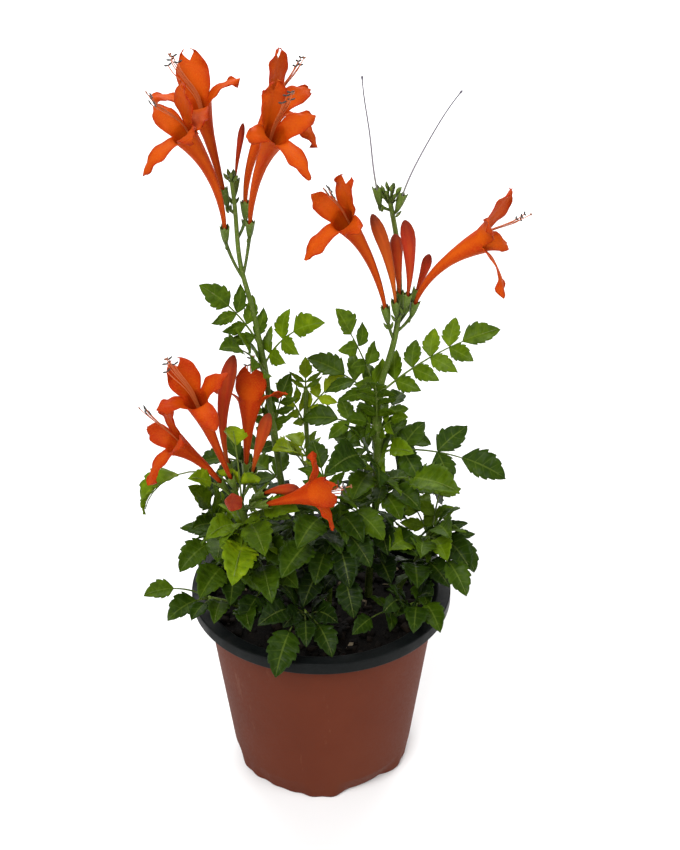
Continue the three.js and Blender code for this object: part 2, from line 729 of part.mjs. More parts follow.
// ---- Shoots -------------------------------------------------------------------------------

// A shoot goes straight up out of its hole, then along its route.
function shootCurve({ route }) {
  const [[x, y]] = route;
  const points = [[x, y, ROOT_HOLE_FLOOR + GAP], [x, y, SOIL_LEVEL + 3], ...route].map(vector);
  return new THREE.CatmullRomCurve3(points, false, 'catmullrom', 0.5);
}

// Share of the curve at a place counted along the route
const shareAt = ({ route }, place) => (place + 2) / (route.length + 1);

// A head of small green buds round a core
function topBudSolids({ centre, spread, count, radius }) {
  const core = new THREE.IcosahedronGeometry(spread * 0.8).translate(...centre);
  return [solidOf(core)].concat(Array.from({ length: count }, (_, k) => {
    const turn = k * Math.PI * (3 - Math.sqrt(5));
    const level = 1 - (1.4 * (k + 0.5)) / count;
    const out = spread * Math.sqrt(1 - level ** 2);
    return solidOf(new THREE.OctahedronGeometry(radius).translate(
      centre[0] + out * Math.cos(turn), centre[1] + out * Math.sin(turn), centre[2] + spread * level));
  }));
}

function shootSolid(name, firstLeaf) {
  const shoot = SHOOTS[name];
  const curve = shootCurve(shoot);
  const stem = taper(curve, shoot.radii, STEM_SIDES, shoot.route.length + 3);
  const leaves = shoot.leaves.map((row, k) => (
    leafSolid(makeLeaf(curve.getPoint(shareAt(shoot, row[0])), row, firstLeaf + k))));
  const cups = Object.values({ ...FLOWERS, ...BUDS, ...THREADS })
    .filter((flower) => flower.on === name)
    .map((flower) => calyxSolid(curve, shareAt(shoot, flower.at), flower));
  const buds = TOP_BUDS[name] ? topBudSolids(TOP_BUDS[name]) : [];
  return joined([stem, ...leaves, ...cups, ...buds]);
}

// ---- Pot and soil -------------------------------------------------------------------------

// How far the foot is pressed in at an angle, from 0 to 1
function dentAt(angle) {
  const pitch = (2 * Math.PI) / DENTS;
  const from = angle - radians(FIRST_DENT);
  const nearest = Math.round(from / pitch);
  const off = Math.abs(from - pitch * nearest);
  return THREE.MathUtils.clamp(2 - off / radians(12), 0, 1) * (nearest % 2 ? SHALLOW_DENT : 1);
}

function potSolid() {
  const underRim = POT_HEIGHT - RIM_THICKNESS;
  const wall = [
    [0, 0], [BASE_RADIUS - FOOT_ROUND, 0], [BASE_RADIUS, FOOT_ROUND],
    [FOOT_RADIUS, DENT_HEIGHT], [NECK_RADIUS, underRim],
  ];
  const rim = [
    [RIM_RADIUS - LIP_WALL, underRim], [RIM_RADIUS - LIP_WALL, POT_HEIGHT - LIP_DROP],
    [RIM_RADIUS, POT_HEIGHT - LIP_DROP], [RIM_RADIUS, POT_HEIGHT - RIM_ROUND],
    [RIM_RADIUS - RIM_ROUND, POT_HEIGHT], [NECK_RADIUS + RIM_ROUND, POT_HEIGHT],
  ];
  const inside = [
    [NECK_RADIUS - POT_WALL, underRim], [FOOT_RADIUS - POT_WALL, DENT_HEIGHT],
    [BASE_RADIUS - FOOT_ROUND, POT_WALL], [0, POT_WALL],
  ];
  const profile = [...wall, ...rim, ...inside].map(([r, z]) => new THREE.Vector2(r, z));
  const start = radians(FIRST_DENT) + Math.PI / 2;
  const shell = new THREE.LatheGeometry(profile, POT_SIDES, start).rotateX(Math.PI / 2);
  const at = shell.attributes.position;
  for (let i = 0; i < at.count; i++) {
    const [x, y, z] = [at.getX(i), at.getY(i), at.getZ(i)];
    const radius = Math.hypot(x, y);
    if (z < DENT_HEIGHT && radius > BASE_RADIUS / 2) {
      const shrink = 1 - (DENT_DEPTH * dentAt(Math.atan2(y, x)) * (1 - z / DENT_HEIGHT)) / radius;
      at.setXY(i, x * shrink, y * shrink);
    }
  }
  const holes = Array.from({ length: DENTS }, (_, k) => {
    const angle = radians(FIRST_DENT) + (2 * Math.PI * (k + 0.5)) / DENTS;
    return solidOf(new THREE.CylinderGeometry(DRAIN_RADIUS, DRAIN_RADIUS, 4 * POT_WALL, 6)
      .rotateX(Math.PI / 2)
      .translate(DRAIN_CIRCLE * Math.cos(angle), DRAIN_CIRCLE * Math.sin(angle), 0));
  });
  return holes.reduce((pot, hole) => pot.subtract(hole), solidOf(shell));
}

function soilSolid() {
  const random = seeded(29);
  const level = SOIL_LEVEL - SOIL_SWELL;
  const rise = (level - DENT_HEIGHT) / (POT_HEIGHT - RIM_THICKNESS - DENT_HEIGHT);
  const edge = THREE.MathUtils.lerp(FOOT_RADIUS, NECK_RADIUS, rise) - SOIL_INSET;
  const circle = (radius, height, swell) => {
    const centre = new THREE.Vector3(0, 0, height);
    return ring(centre, new THREE.Vector3(1, 0, 0), new THREE.Vector3(0, 1, 0), radius, SOIL_SIDES)
      .map((point) => point.setZ(point.z + swell * (random() - 0.5)));
  };
  const soil = loft([
    circle(SOIL_FOOT, SOIL_FLOOR, 0),
    circle(FOOT_RADIUS - SOIL_INSET, DENT_HEIGHT + 1, 0),
    circle(edge, level, SOIL_SWELL),
    ...SOIL_RINGS.map((radius) => circle(radius, SOIL_LEVEL, 2 * SOIL_SWELL)),
    [new THREE.Vector3(0, 0, SOIL_LEVEL)],
  ]);
  return Object.values(SHOOTS).reduce((rest, { route: [[x, y]], radii: [radius] }) => {
    const height = POT_HEIGHT - ROOT_HOLE_FLOOR;
    const hole = new THREE.CylinderGeometry(radius + ROOT_HOLE_PLAY, radius + ROOT_HOLE_PLAY, height, 6)
      .rotateX(Math.PI / 2)
      .translate(x, y, ROOT_HOLE_FLOOR + height / 2);
    return rest.subtract(solidOf(hole));
  }, soil);
}

// ---- Colours and assembly -----------------------------------------------------------------

const material = (color, roughness) => new THREE.MeshStandardMaterial({ color, roughness, metalness: 0 });
const terracotta = material('#6b3a2a', 0.7);
const peat = material('#17120e', 0.95);
const petal = material('#e2571a', 0.55);
const budRed = material('#c83e1e', 0.5);
const dryThread = material('#8d8a88', 0.7);
const youngLeaf = material('#5c7d18', 0.5);
const midLeaf = material('#41691a', 0.5);
const darkLeaf = material('#2a5220', 0.5);

const SHOOT_COLOURS = {
  tall_left: midLeaf, tall_right: midLeaf, young: youngLeaf, low_flowering: youngLeaf,
  left_bush: youngLeaf, left_trailing: youngLeaf, front: midLeaf, centre: midLeaf,
  right_front: midLeaf, right_bush: darkLeaf, back_left: darkLeaf, back_right: darkLeaf,
};

const plant = new THREE.Group();

function add(name, solid, finish) {
  const mesh = new THREE.Mesh(geometryOf(solid), finish);
  mesh.name = name;
  plant.add(mesh);
}

add('pot', potSolid(), terracotta);
add('soil', soilSolid(), peat);
let leafCount = 0;
for (const [name, shoot] of Object.entries(SHOOTS)) {
  add(`shoot_${name}`, shootSolid(name, leafCount), SHOOT_COLOURS[name]);
  leafCount += shoot.leaves.length;
}
for (const [name, flower] of Object.entries(FLOWERS)) add(name, bloomSolid(flower), petal);
for (const [name, flower] of Object.entries(BUDS)) add(name, budSolid(flower), budRed);
for (const [name, flower] of Object.entries(THREADS)) add(name, threadSolid(flower), dryThread);

export default plant;
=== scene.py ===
"""A trumpet vine (Cape honeysuckle) in flower in its pot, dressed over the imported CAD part."""

import math

import bpy
import numpy as np
from mathutils import Matrix, Vector, noise


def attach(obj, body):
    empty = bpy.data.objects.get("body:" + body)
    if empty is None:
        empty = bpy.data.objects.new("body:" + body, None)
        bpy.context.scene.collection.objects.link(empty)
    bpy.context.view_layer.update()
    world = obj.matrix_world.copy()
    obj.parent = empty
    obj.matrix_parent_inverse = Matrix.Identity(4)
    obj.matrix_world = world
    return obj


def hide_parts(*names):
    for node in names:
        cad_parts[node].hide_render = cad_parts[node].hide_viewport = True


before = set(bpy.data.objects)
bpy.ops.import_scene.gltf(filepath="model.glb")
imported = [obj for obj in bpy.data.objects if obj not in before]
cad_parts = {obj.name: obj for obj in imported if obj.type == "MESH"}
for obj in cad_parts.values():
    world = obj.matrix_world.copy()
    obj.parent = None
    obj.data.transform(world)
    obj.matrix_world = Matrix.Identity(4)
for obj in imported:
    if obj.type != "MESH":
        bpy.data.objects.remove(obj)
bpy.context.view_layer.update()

MM = 0.001
TAU = 2 * math.pi
UP = np.array([0.0, 0.0, 1.0])


def unit(v):
    return v / np.linalg.norm(v)


def grown(shoot, at, foot, aim, mouth, **more):
    """A flower, bud or thread, which leaves its foot towards aim"""
    foot, aim, mouth = (np.array(point, float) for point in (foot, aim, mouth))
    return {"on": shoot, "at": at, "foot": foot, "first": unit(aim - foot), "mouth": mouth, **more}


# ---- The plant -----------------------------------------------------------------------------
# In millimetres. The routes, radii and leaves are the CAD source's own, and so are the places,
# lobes, rolls and girths of the flowers and buds. Each shoot is a route from its root. A leaf is
# [place along the route, tip x, y, z, droop in degrees, pairs of leaflets, leaflet length], and
# then its roll in degrees where it has one. The inner leaves are smaller ones, in the scene alone,
# that fill the foot of the plant: [place, tip x, y, z, leaflet length], with INNER_DROOP and
# INNER_PAIRS. tone is how bright a shoot's leaves are, from 0 for the darkest to 1 for fresh
# yellow-green, and slot is the CAD's material.
INNER_DROOP, INNER_PAIRS = 60, 1

SHOOTS = {
    "tall_left": {
        "route": [
            [-14, 4, 97], [-16, 3, 130], [-19, 1, 160], [-22, 0, 190], [-25.6, 0, 224],
            [-30, 0, 252], [-34.8, 0, 275], [-36.1, 0, 300], [-37.2, 0, 313],
        ],
        "radii": [1.9, 0.9], "tone": 0.62, "slot": "leaf_mid",
        "leaves": [
            [4.3, -52, -8, 267, 30, 3, 13, -20], [4, 2, -14, 252, 50, 2, 13, 10],
            [3.8, -42, -30, 247, 50, 2, 13], [3, -14, 8, 216, 20, 3, 9],
            [2.8, -32, 20, 202, 20, 3, 8], [2, -36, 24, 158, 50, 1, 17],
        ],
        "inner": [
            [0.9, -14, -26, 128, 17], [1.4, -28, -20, 146, 16], [1.2, 2, -20, 138, 16],
            [0.6, -4, -26, 116, 15],
        ],
    },
    "tall_right": {
        "route": [
            [24, 6, 97], [25.5, 3, 125], [26.9, 0, 151], [27.5, 0, 178], [27, 0, 206], [34, 0, 236],
            [36, 1, 255], [35, 7, 279], [31, 0, 303],
        ],
        "radii": [2.1, 1.1], "tone": 0.52, "slot": "leaf_mid",
        "leaves": [
            [4, 7, -6, 255, 20, 3, 12, -10], [4, -6, 14, 221, 30, 2, 15],
            [4.1, 83, 6, 240, 30, 4, 14], [3.5, 25, -26, 227, 40, 3, 11],
            [3, 88, -10, 169, 50, 2, 18], [2.4, 64, -29, 174, 40, 0, 28],
            [3.3, 40, 27, 196, 50, 2, 10], [2, 57, 17, 146, 50, 2, 12],
            [3.35, -9, 10, 190, 50, 2, 14], [2.75, 6, -39, 192, 50, 1, 20],
            [2.6, 15, -30, 169, 70, 1, 22], [2.2, 38, -26, 156, 60, 1, 20],
            [2.9, 43, -14, 186, 50, 1, 16], [3.4, 12, -8, 199, 60, 2, 9],
            [3.3, 41, -10, 202, 60, 2, 8],
        ],
        "inner": [
            [1.8, 18, -24, 146, 17], [1.5, 32, -28, 138, 17], [1.2, 46, -22, 134, 16],
            [1, 12, -26, 126, 16], [0.7, 34, -26, 120, 16], [2.3, 47, -22, 160, 16],
        ],
    },
    "young": {
        "route": [[-4, 20, 97], [-5, 18, 140], [-7, 16, 184], [-7, 16, 204]],
        "radii": [1.3, 0.9], "tone": 0.85, "slot": "leaf_young",
        "leaves": [
            [1.95, -20, 12, 209, 20, 3, 9], [2.9, -7, 19, 219, 10, 2, 9],
            [2.2, 12, 22, 208, 30, 2, 10], [1.5, -16, 38, 166, 50, 2, 13],
            [1.3, -20, -8, 186, 40, 1, 15],
        ],
    },
    "low_flowering": {
        "route": [[-20, -16, 97], [-27, -21, 120], [-33, -25, 146], [-37, -28, 168]],
        "radii": [1.7, 1.1], "tone": 0.74, "slot": "leaf_young",
        "leaves": [
            [2.9, -80, -38, 167, 170, 0, 27, 50], [2.4, -24, -60, 160, 60, 1, 21],
            [2, -38, -66, 150, 60, 1, 20], [2.55, -9, -40, 170, 40, 1, 15],
            [2.7, -37, -46, 218, 20, 1, 12], [2.7, -56, -50, 194, 40, 0, 14],
        ],
        "inner": [
            [1.9, -14, -50, 146, 17], [1.5, -22, -58, 134, 17], [1.2, -10, -44, 130, 16],
            [0.8, -36, -50, 112, 14], [2.2, -50, -48, 162, 15], [0.6, -22, -46, 114, 14],
        ],
    },
    "left_bush": {
        "route": [[-28, 2, 97], [-36, -2, 113], [-44, -5, 128], [-50, -6, 140]],
        "radii": [1.6, 1], "tone": 0.7, "slot": "leaf_young",
        "leaves": [
            [2.85, -63, -12, 166, 30, 2, 14], [2.3, -67, -28, 128, 70, 1, 20],
            [2, -62, 22, 130, 60, 2, 15], [1.4, -56, -46, 125, 60, 1, 18],
            [2.5, -37, -16, 158, 40, 1, 13],
        ],
        "inner": [
            [2.75, -36, -46, 152, 17], [2.3, -47, -44, 146, 16], [1.9, -30, -46, 132, 16],
            [1.5, -42, -44, 120, 15], [2.6, -60, -24, 150, 15], [1.2, -32, -34, 124, 15],
        ],
    },
    "left_trailing": {
        "route": [[-36, -16, 96], [-46, -18, 103], [-55, -20, 107]],
        "radii": [1.3, 0.9], "tone": 0.72, "slot": "leaf_young",
        "leaves": [
            [2, -84, -34, 119, 60, 0, 15], [2, -73, -36, 105, 60, 0, 18],
            [1.6, -61, -42, 110, 60, 0, 13], [1.2, -50, -42, 109, 70, 0, 17],
            [0.4, -33, -54, 116, 60, 1, 14],
        ],
    },
    "front": {
        "route": [[-2, -30, 96], [-5, -34, 106], [-8, -38, 112]],
        "radii": [1.4, 1], "tone": 0.52, "slot": "leaf_mid",
        "leaves": [
            [2, -20, -74, 102, 80, 0, 23], [1.6, 6, -62, 104, 80, 0, 18],
            [2, -27, -60, 122, 60, 1, 18], [0.6, 4, -44, 120, 30, 0, 17],
            [1.8, -6, -64, 112, 70, 0, 15],
        ],
        "inner": [
            [1.2, 8, -54, 118, 14], [1.4, -16, -56, 118, 14],
        ],
    },
    "centre": {
        "route": [[4, -10, 97], [5, -12, 120], [6, -14, 142], [4, -14, 160]],
        "radii": [1.6, 1], "tone": 0.5, "slot": "leaf_mid",
        "leaves": [
            [3, 2, -38, 167, 60, 1, 19], [2.5, -10, -50, 156, 60, 1, 20],
            [2, 14, -44, 130, 60, 1, 17], [1.5, 16, -46, 114, 60, 1, 15],
            [2, -17, -56, 144, 60, 1, 19], [3, 30, -28, 146, 60, 1, 15], [3, -4, 6, 182, 30, 2, 12],
        ],
        "inner": [
            [2.7, 20, -38, 152, 17], [2.2, 24, -38, 138, 17], [1.8, -2, -44, 132, 16],
            [1.3, -8, -42, 118, 15], [0.9, 18, -36, 110, 14],
        ],
    },
    "right_front": {
        "route": [[36, -20, 96], [42, -22, 103], [49, -24, 108]],
        "radii": [1.3, 0.9], "tone": 0.6, "slot": "leaf_mid",
        "leaves": [
            [2, 57, -45, 105, 70, 0, 18], [1.7, 44, -50, 109, 70, 0, 18],
            [1.1, 30, -50, 121, 60, 2, 10], [0.5, 15, -48, 106, 60, 1, 11],
        ],
        "inner": [
            [1.6, 54, -36, 120, 13], [1, 36, -44, 114, 13],
        ],
    },
    "right_bush": {
        "route": [[40, 4, 97], [45, 4, 107], [51, 6, 119], [56, 8, 130]],
        "radii": [1.6, 1], "tone": 0.78, "slot": "leaf_dark",
        "leaves": [
            [3, 77, -3, 110, 60, 2, 14], [2.2, 71, -24, 111, 70, 0, 20],
            [2.3, 67, 30, 112, 60, 2, 11], [1.2, 46, -36, 124, 60, 1, 18],
            [2.5, 38, 32, 142, 50, 2, 12], [2.85, 66, 38, 150, 60, 2, 11],
            [2.5, 61, -22, 130, 60, 1, 18], [1.7, 33, -28, 141, 60, 1, 17],
            [2.8, 73, -14, 120, 60, 0, 22],
        ],
        "inner": [
            [2.8, 62, -20, 142, 16], [2, 48, -26, 136, 16], [1.5, 62, -22, 116, 16],
            [0.9, 52, -30, 108, 14], [2.4, 62, -10, 128, 15],
        ],
    },
    "back_left": {
        "route": [[-18, 30, 97], [-26, 32, 116], [-34, 32, 138], [-38, 30, 154]],
        "radii": [1.6, 1], "tone": 0.38, "slot": "leaf_dark",
        "leaves": [
            [3, -62, 36, 150, 60, 1, 18], [2.1, -66, 50, 116, 60, 1, 19],
            [1.6, -24, 72, 114, 60, 1, 19], [2.5, -24, 52, 170, 40, 2, 12],
        ],
    },
    "back_right": {
        "route": [[18, 32, 97], [22, 34, 118], [28, 34, 144], [32, 32, 162]],
        "radii": [1.6, 1], "tone": 0.36, "slot": "leaf_dark",
        "leaves": [
            [3, 56, 42, 158, 60, 1, 18], [2.1, 66, 52, 116, 60, 1, 19],
            [1.6, 16, 74, 114, 60, 1, 19], [2.5, 6, 46, 160, 50, 2, 12],
        ],
    },
}

# Each flower grows on a shoot, at a place along it. Its foot is the calyx's lower end and its
# mouth the middle of the open throat or the tip of a bud. lobes is how long its lobes are, roll
# how far it is turned on its midline, and drift where its stamens hang to.
FLOWERS = {
    "bloom_left_front": grown("tall_left", 5.6, (-40.5, -3, 285), (-40.5, -4, 291.5),
        (-54.5, -20, 338.5), lobes=1.12, drift=(-7, -3, -2)),
    "bloom_left_top": grown("tall_left", 6.85, (-39.5, 2, 300), (-41, 3, 306.5), (-49.5, 2, 344.5),
        lobes=1.2, drift=(-6, -3, 0)),
    "bloom_left_side": grown("tall_left", 5.7, (-30, -3, 287.5), (-29.5, -4, 295),
        (-16.5, -20, 338), lobes=1.15, drift=(2, -3, -1)),
    "bloom_left_rear": grown("tall_left", 6.4, (-32, 4, 293), (-32, 5, 299), (-16.5, 4, 343.5),
        lobes=1.2, drift=(4, -2, 0)),
    "bloom_right_side": grown("tall_right", 5.2, (41.5, -2, 249.5), (43, -3, 256.5),
        (70.5, -8, 287.5), lobes=1.35, roll=-45, drift=(4, -1, -3)),
    "bloom_right_star": grown("tall_right", 5, (31, -4, 247), (29.5, -3.5, 255),
        (10.3, -18.5, 301), lobes=1.08, roll=-32, drift=(-2, -2, -2)),
    "bloom_low_top": grown("low_flowering", 2.9, (-38.5, -32, 177.5), (-40.5, -34, 185),
        (-52, -48, 231), lobes=1, drift=(-3, -2, 0)),
    "bloom_low_left": grown("low_flowering", 2.65, (-42, -29, 173.5), (-45, -30, 179),
        (-64, -38, 204), lobes=1, drift=(-3, -1, 1)),
    "bloom_low_right": grown("low_flowering", 2.75, (-29, -37, 170.5), (-24, -39, 173),
        (-3.5, -44.5, 182), lobes=1.1),
    "bloom_low_rear": grown("low_flowering", 2.8, (-34.5, -20, 176), (-34, -19.5, 183),
        (-32, -9, 209), lobes=1),
}

# girth is a bud's thickness and tone how orange it is, from 0 for deep red to 1
BUDS = {
    "bud_left_dark": grown("tall_left", 7, (-37, 8, 302), (-36.5, 9, 307), (-32, 11, 334),
        girth=0.45, tone=0.2),
    "bud_right_orange": grown("tall_right", 5.5, (34.5, -5, 251), (34, -6, 258), (23, -8, 300),
        girth=0.9, tone=0.95),
    "bud_right_red": grown("tall_right", 5.6, (38.5, -6, 255), (39.4, -7, 262), (37, -10, 298),
        girth=1, tone=0.1),
    "bud_right_rear": grown("tall_right", 5.7, (36.5, -1, 253), (36, -1, 259.5), (33.5, 0, 288),
        girth=0.9, tone=0.4),
    "bud_right_small": grown("tall_right", 5.4, (41.5, 5, 252), (43.5, 6, 257), (49.5, 9, 275),
        girth=0.7, tone=0.0),
    "bud_low_tall": grown("low_flowering", 2.95, (-40.5, -25, 179), (-42, -24.5, 186),
        (-37.5, -18, 238), girth=1.1, tone=0.3),
    "bud_low_upright": grown("low_flowering", 2.98, (-31.5, -28, 178), (-30.5, -29, 183.5),
        (-22, -28, 214), girth=0.9, tone=0.7),
    "bud_low_curved": grown("low_flowering", 2.55, (-30, -27, 169), (-25.3, -29.4, 173),
        (-9, -38, 180), girth=0.85, tone=0.35),
    "bud_low_front": grown("low_flowering", 2.85, (-35.5, -35, 171), (-36, -40, 174),
        (-37, -62, 189), girth=1.2, tone=0.25),
}

# Two flowers have dropped and left their threads standing in the calyx.
THREADS = {
    "thread_left": grown("tall_right", 7.8, (26.5, -1, 301.5), (25.5, -1, 307.5), (18.5, -4, 358)),
    "thread_right": grown("tall_right", 7.7, (34, -1, 299), (36, -1, 305), (59.5, -8, 353)),
}

# ---- Meshes --------------------------------------------------------------------------------

BALL_ROWS, BALL_COLUMNS = 6, 10


def add_object(name, data):
    thing = bpy.data.objects.new(name, data)
    bpy.context.scene.collection.objects.link(thing)
    return thing


def add_mesh(name, points, faces):
    """An object from points in millimetres"""
    mesh = bpy.data.meshes.new(name)
    mesh.from_pydata((np.asarray(points) * MM).tolist(), [], faces)
    return add_object(name, mesh)


class Shape:
    """Points, faces and per-point values gathered into one Blender object"""

    def __init__(self):
        self.points, self.faces, self.slots, self.values = [], [], [], {}
        self.count = 0

    def add(self, points, faces, slots=None, **values):
        points = np.asarray(points, float).reshape(-1, 3)
        for name in values:
            self.values.setdefault(name, [np.zeros(self.count)])
        for name, parts in self.values.items():
            value = np.asarray(values.get(name, 0.0), float)
            parts.append(np.broadcast_to(value.ravel(), len(points)))
        self.points.append(points)
        self.faces += [tuple(int(i) + self.count for i in face) for face in faces]
        self.slots += slots or [0] * len(faces)
        self.count += len(points)

    def build(self, name, materials, node, slot, thickness=0.0):
        """Makes the object; it rides on the part's one body and stands for a CAD node."""
        piece = add_mesh(name, np.vstack(self.points), self.faces)
        mesh = piece.data
        for material in materials:
            mesh.materials.append(material)
        mesh.polygons.foreach_set("material_index", self.slots)
        mesh.polygons.foreach_set("use_smooth", [True] * len(self.faces))
        for key, parts in self.values.items():
            attribute = mesh.attributes.new(key, "FLOAT", "POINT")
            attribute.data.foreach_set("value", np.concatenate(parts).astype(np.float32))
        mesh.validate()
        mesh.update()
        if thickness:
            solidify = piece.modifiers.new("thickness", "SOLIDIFY")
            solidify.thickness = thickness * MM
            solidify.offset = 0
        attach(piece, "root")
        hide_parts(node)
        return piece


def grid_faces(rows, columns, closed=False):
    """Quads over rows of points; closed joins the last column to the first."""
    faces = []
    for a in range(0, (rows - 1) * columns, columns):
        for j in range(columns if closed else columns - 1):
            k = (j + 1) % columns
            faces.append((a + j, a + k, a + columns + k, a + columns + j))
    return faces


def capped_faces(rows, columns):
    """Quads round a tube of rings, and a face over each end"""
    ends = [tuple(range(columns))[::-1], tuple(range((rows - 1) * columns, rows * columns))]
    return grid_faces(rows, columns, closed=True) + ends


def fan_faces(middle, first, count):
    """Triangles from a middle point to the ring that starts at first"""
    return [(middle, first + j, first + (j + 1) % count) for j in range(count)]


def seeded(seed):
    """The same repeatable numbers as the CAD source's."""
    state = seed

    def draw():
        nonlocal state
        state = (state * 1664525 + 1013904223) & 0xFFFFFFFF
        return state / 2 ** 32
    return draw


def smooth(x):
    x = np.clip(x, 0, 1)
    return x * x * (3 - 2 * x)


def bezier(a, b, c, t):
    """The curve from a to c that bends towards b"""
    return (1 - t) ** 2 * a + 2 * t * (1 - t) * b + t ** 2 * c


def turns(count):
    return np.arange(count) * TAU / count


def ring_round(a, b, turn):
    """Directions round a ring, which start at a and turn towards b"""
    return a * np.cos(turn)[:, None] + b * np.sin(turn)[:, None]


def frames_along(points):
    """A steady pair of directions across a line of points."""
    tangents = np.gradient(points, axis=0)
    tangents /= np.linalg.norm(tangents, axis=1)[:, None]
    side = np.cross(tangents[0], UP if abs(tangents[0][2]) < 0.9 else np.array([1.0, 0, 0]))
    sides = []
    for tangent in tangents:
        side = unit(side - tangent * (side @ tangent))
        sides.append(side)
    sides = np.array(sides)
    return sides, np.cross(tangents, sides)


def add_tube(shape, points, radii, count, **values):
    """A closed tube along a line of points"""
    sides, overs = frames_along(points)
    ring = ring_round(sides[:, None], overs[:, None], turns(count))
    radii = np.broadcast_to(np.asarray(radii, float), len(points))
    each = {k: np.repeat(v, count) if np.ndim(v) else v for k, v in values.items()}
    rings = points[:, None] + ring * radii[:, None, None]
    shape.add(rings, capped_faces(len(points), count), **each)


def add_ball(shape, centre, axes, tip=0.0, **values):
    """An egg-shaped ball. axes are its three half axes, the last one its length, and tip is how
    much it narrows towards that end."""
    across, over, along = (np.asarray(a, float) for a in axes)
    points = []
    for i in range(BALL_ROWS + 1):
        lat = math.pi * (i / BALL_ROWS - 0.5)
        flat = math.cos(lat) * (1 - tip * max(0.0, math.sin(lat)))
        for j in range(BALL_COLUMNS):
            turn = TAU * j / BALL_COLUMNS
            points.append(centre + across * flat * math.cos(turn) + over * flat * math.sin(turn)
                          + along * math.sin(lat))
    shape.add(points, grid_faces(BALL_ROWS + 1, BALL_COLUMNS, closed=True), **values)


# ---- Leaves --------------------------------------------------------------------------------

STALK_WIDTH = 1.7
SPREAD = math.radians(56)           # between a side leaflet and the rib
BREADTH = 0.62                      # a leaflet's width, by its length
END_LEAFLET = 1.3                   # the end leaflet's length, by the others'
STALK_SHARE = 0.16                  # the bare share of the rib
FACING = 0.65                       # how far a leaf turns to face the light
LIGHT = np.array([0, -0.8, 0.6])
LEAF_SEED, LEAFLET_SEED = (7919, 17), (104729, 5)
CUP, FOLD, RIPPLE = 0.32, 0.34, 0.05    # how a leaf is arched from side to side
LEAST_FACING, ROLL_SPREAD = 0.2, 0.3
RIB_STEPS, RIB_SIDES, RIB_DEPTH = 14, 6, 0.35
RIB_RADIUS, RIB_TAPER = 0.62, 0.42
LEAF_TONES, LEAFLET_TONES = 0.3, 0.16   # how far the tones of leaves and leaflets spread
TEETH_START, TEETH_SHARE = 0.1, 0.84    # where down a leaflet its teeth are
TOOTH = [(0.0, 0.90), (0.35, 1.0), (0.7, 1.06), (0.97, 1.1)]    # share of a tooth, width
TOOTH_SIZES = (8, 13, 19, 25)       # leaflets longer than each of these have one more tooth
VEIN_SLANT = 0.9                    # teeth that a side vein runs back over
PUCKER = 0.018
COLUMNS = np.array([-1, -0.72, -0.38, 0, 0.38, 0.72, 1])


def make_leaf(base, row, index):
    """The leaf's rib is an arc that starts steep and droops towards its tip."""
    _, x, y, z, droop, pairs, leaflet, roll = (*row, 0)[:8]
    random = seeded(index * LEAF_SEED[0] + LEAF_SEED[1])
    chord = np.array([x, y, z], float) - base
    droop = math.radians(droop)
    flat = math.hypot(chord[0], chord[1])
    leaf = {
        "base": base, "droop": droop, "pairs": pairs, "leaflet": leaflet, "index": index, "roll": 0,
        "heading": np.array([chord[0] / flat, chord[1] / flat, 0]),
        "rise": math.atan2(chord[2], flat) + droop / 2,
        "length": np.linalg.norm(chord) * droop / 2 / math.sin(droop / 2),
    }
    _, side, normal = leaf_frame(leaf, leaf["length"] / 2)
    facing = math.atan2(-side @ LIGHT, max(LEAST_FACING, normal @ LIGHT))
    leaf["roll"] = math.radians(roll) + FACING * facing + ROLL_SPREAD * (random() - 0.5)
    leaf["wave"] = 0.5 + random()
    return leaf


def leaf_frame(leaf, s):
    s = np.asarray(s, float)
    angle = leaf["rise"] - leaf["droop"] * s / leaf["length"]
    bow = leaf["length"] / leaf["droop"]
    reach = bow * (math.sin(leaf["rise"]) - np.sin(angle))
    climb = bow * (np.cos(angle) - math.cos(leaf["rise"]))
    heading = leaf["heading"]
    along = heading * np.cos(angle)[..., None] + UP * np.sin(angle)[..., None]
    side = np.cross(UP, heading)
    normal = np.cross(along, side)
    cos, sin = math.cos(leaf["roll"]), math.sin(leaf["roll"])
    point = leaf["base"] + heading * reach[..., None] + UP * climb[..., None]
    return point, side * cos + normal * sin, normal * cos - side * sin


def leaf_point(leaf, s, t, raised):
    """A point of the blade, s along the rib, t to its side and raised above the arch"""
    point, side, normal = leaf_frame(leaf, s)
    share = np.abs(t) / leaf["leaflet"]
    lift = leaf["leaflet"] * (CUP * share - FOLD * share ** 2
                              + RIPPLE * share * np.sin(leaf["wave"] * s))
    return point + side * t[..., None] + normal * (lift + raised)[..., None]


def leaflet_rows(teeth):
    """[share of the length, half width] down a leaflet with forward-pointing teeth"""
    def oval(u):
        return math.sin(math.pi * u ** 0.8) ** 0.9
    rows = [(0.0, 0.1), (0.05, max(0.12, 0.9 * oval(0.05)))]
    for k in range(teeth):
        for share, width in TOOTH:
            u = TEETH_START + TEETH_SHARE * (k + share) / teeth
            rows.append((u, oval(u) * width))
    return np.array(rows + [(0.965, 0.9 * oval(0.965)), (1.0, 0.02)])


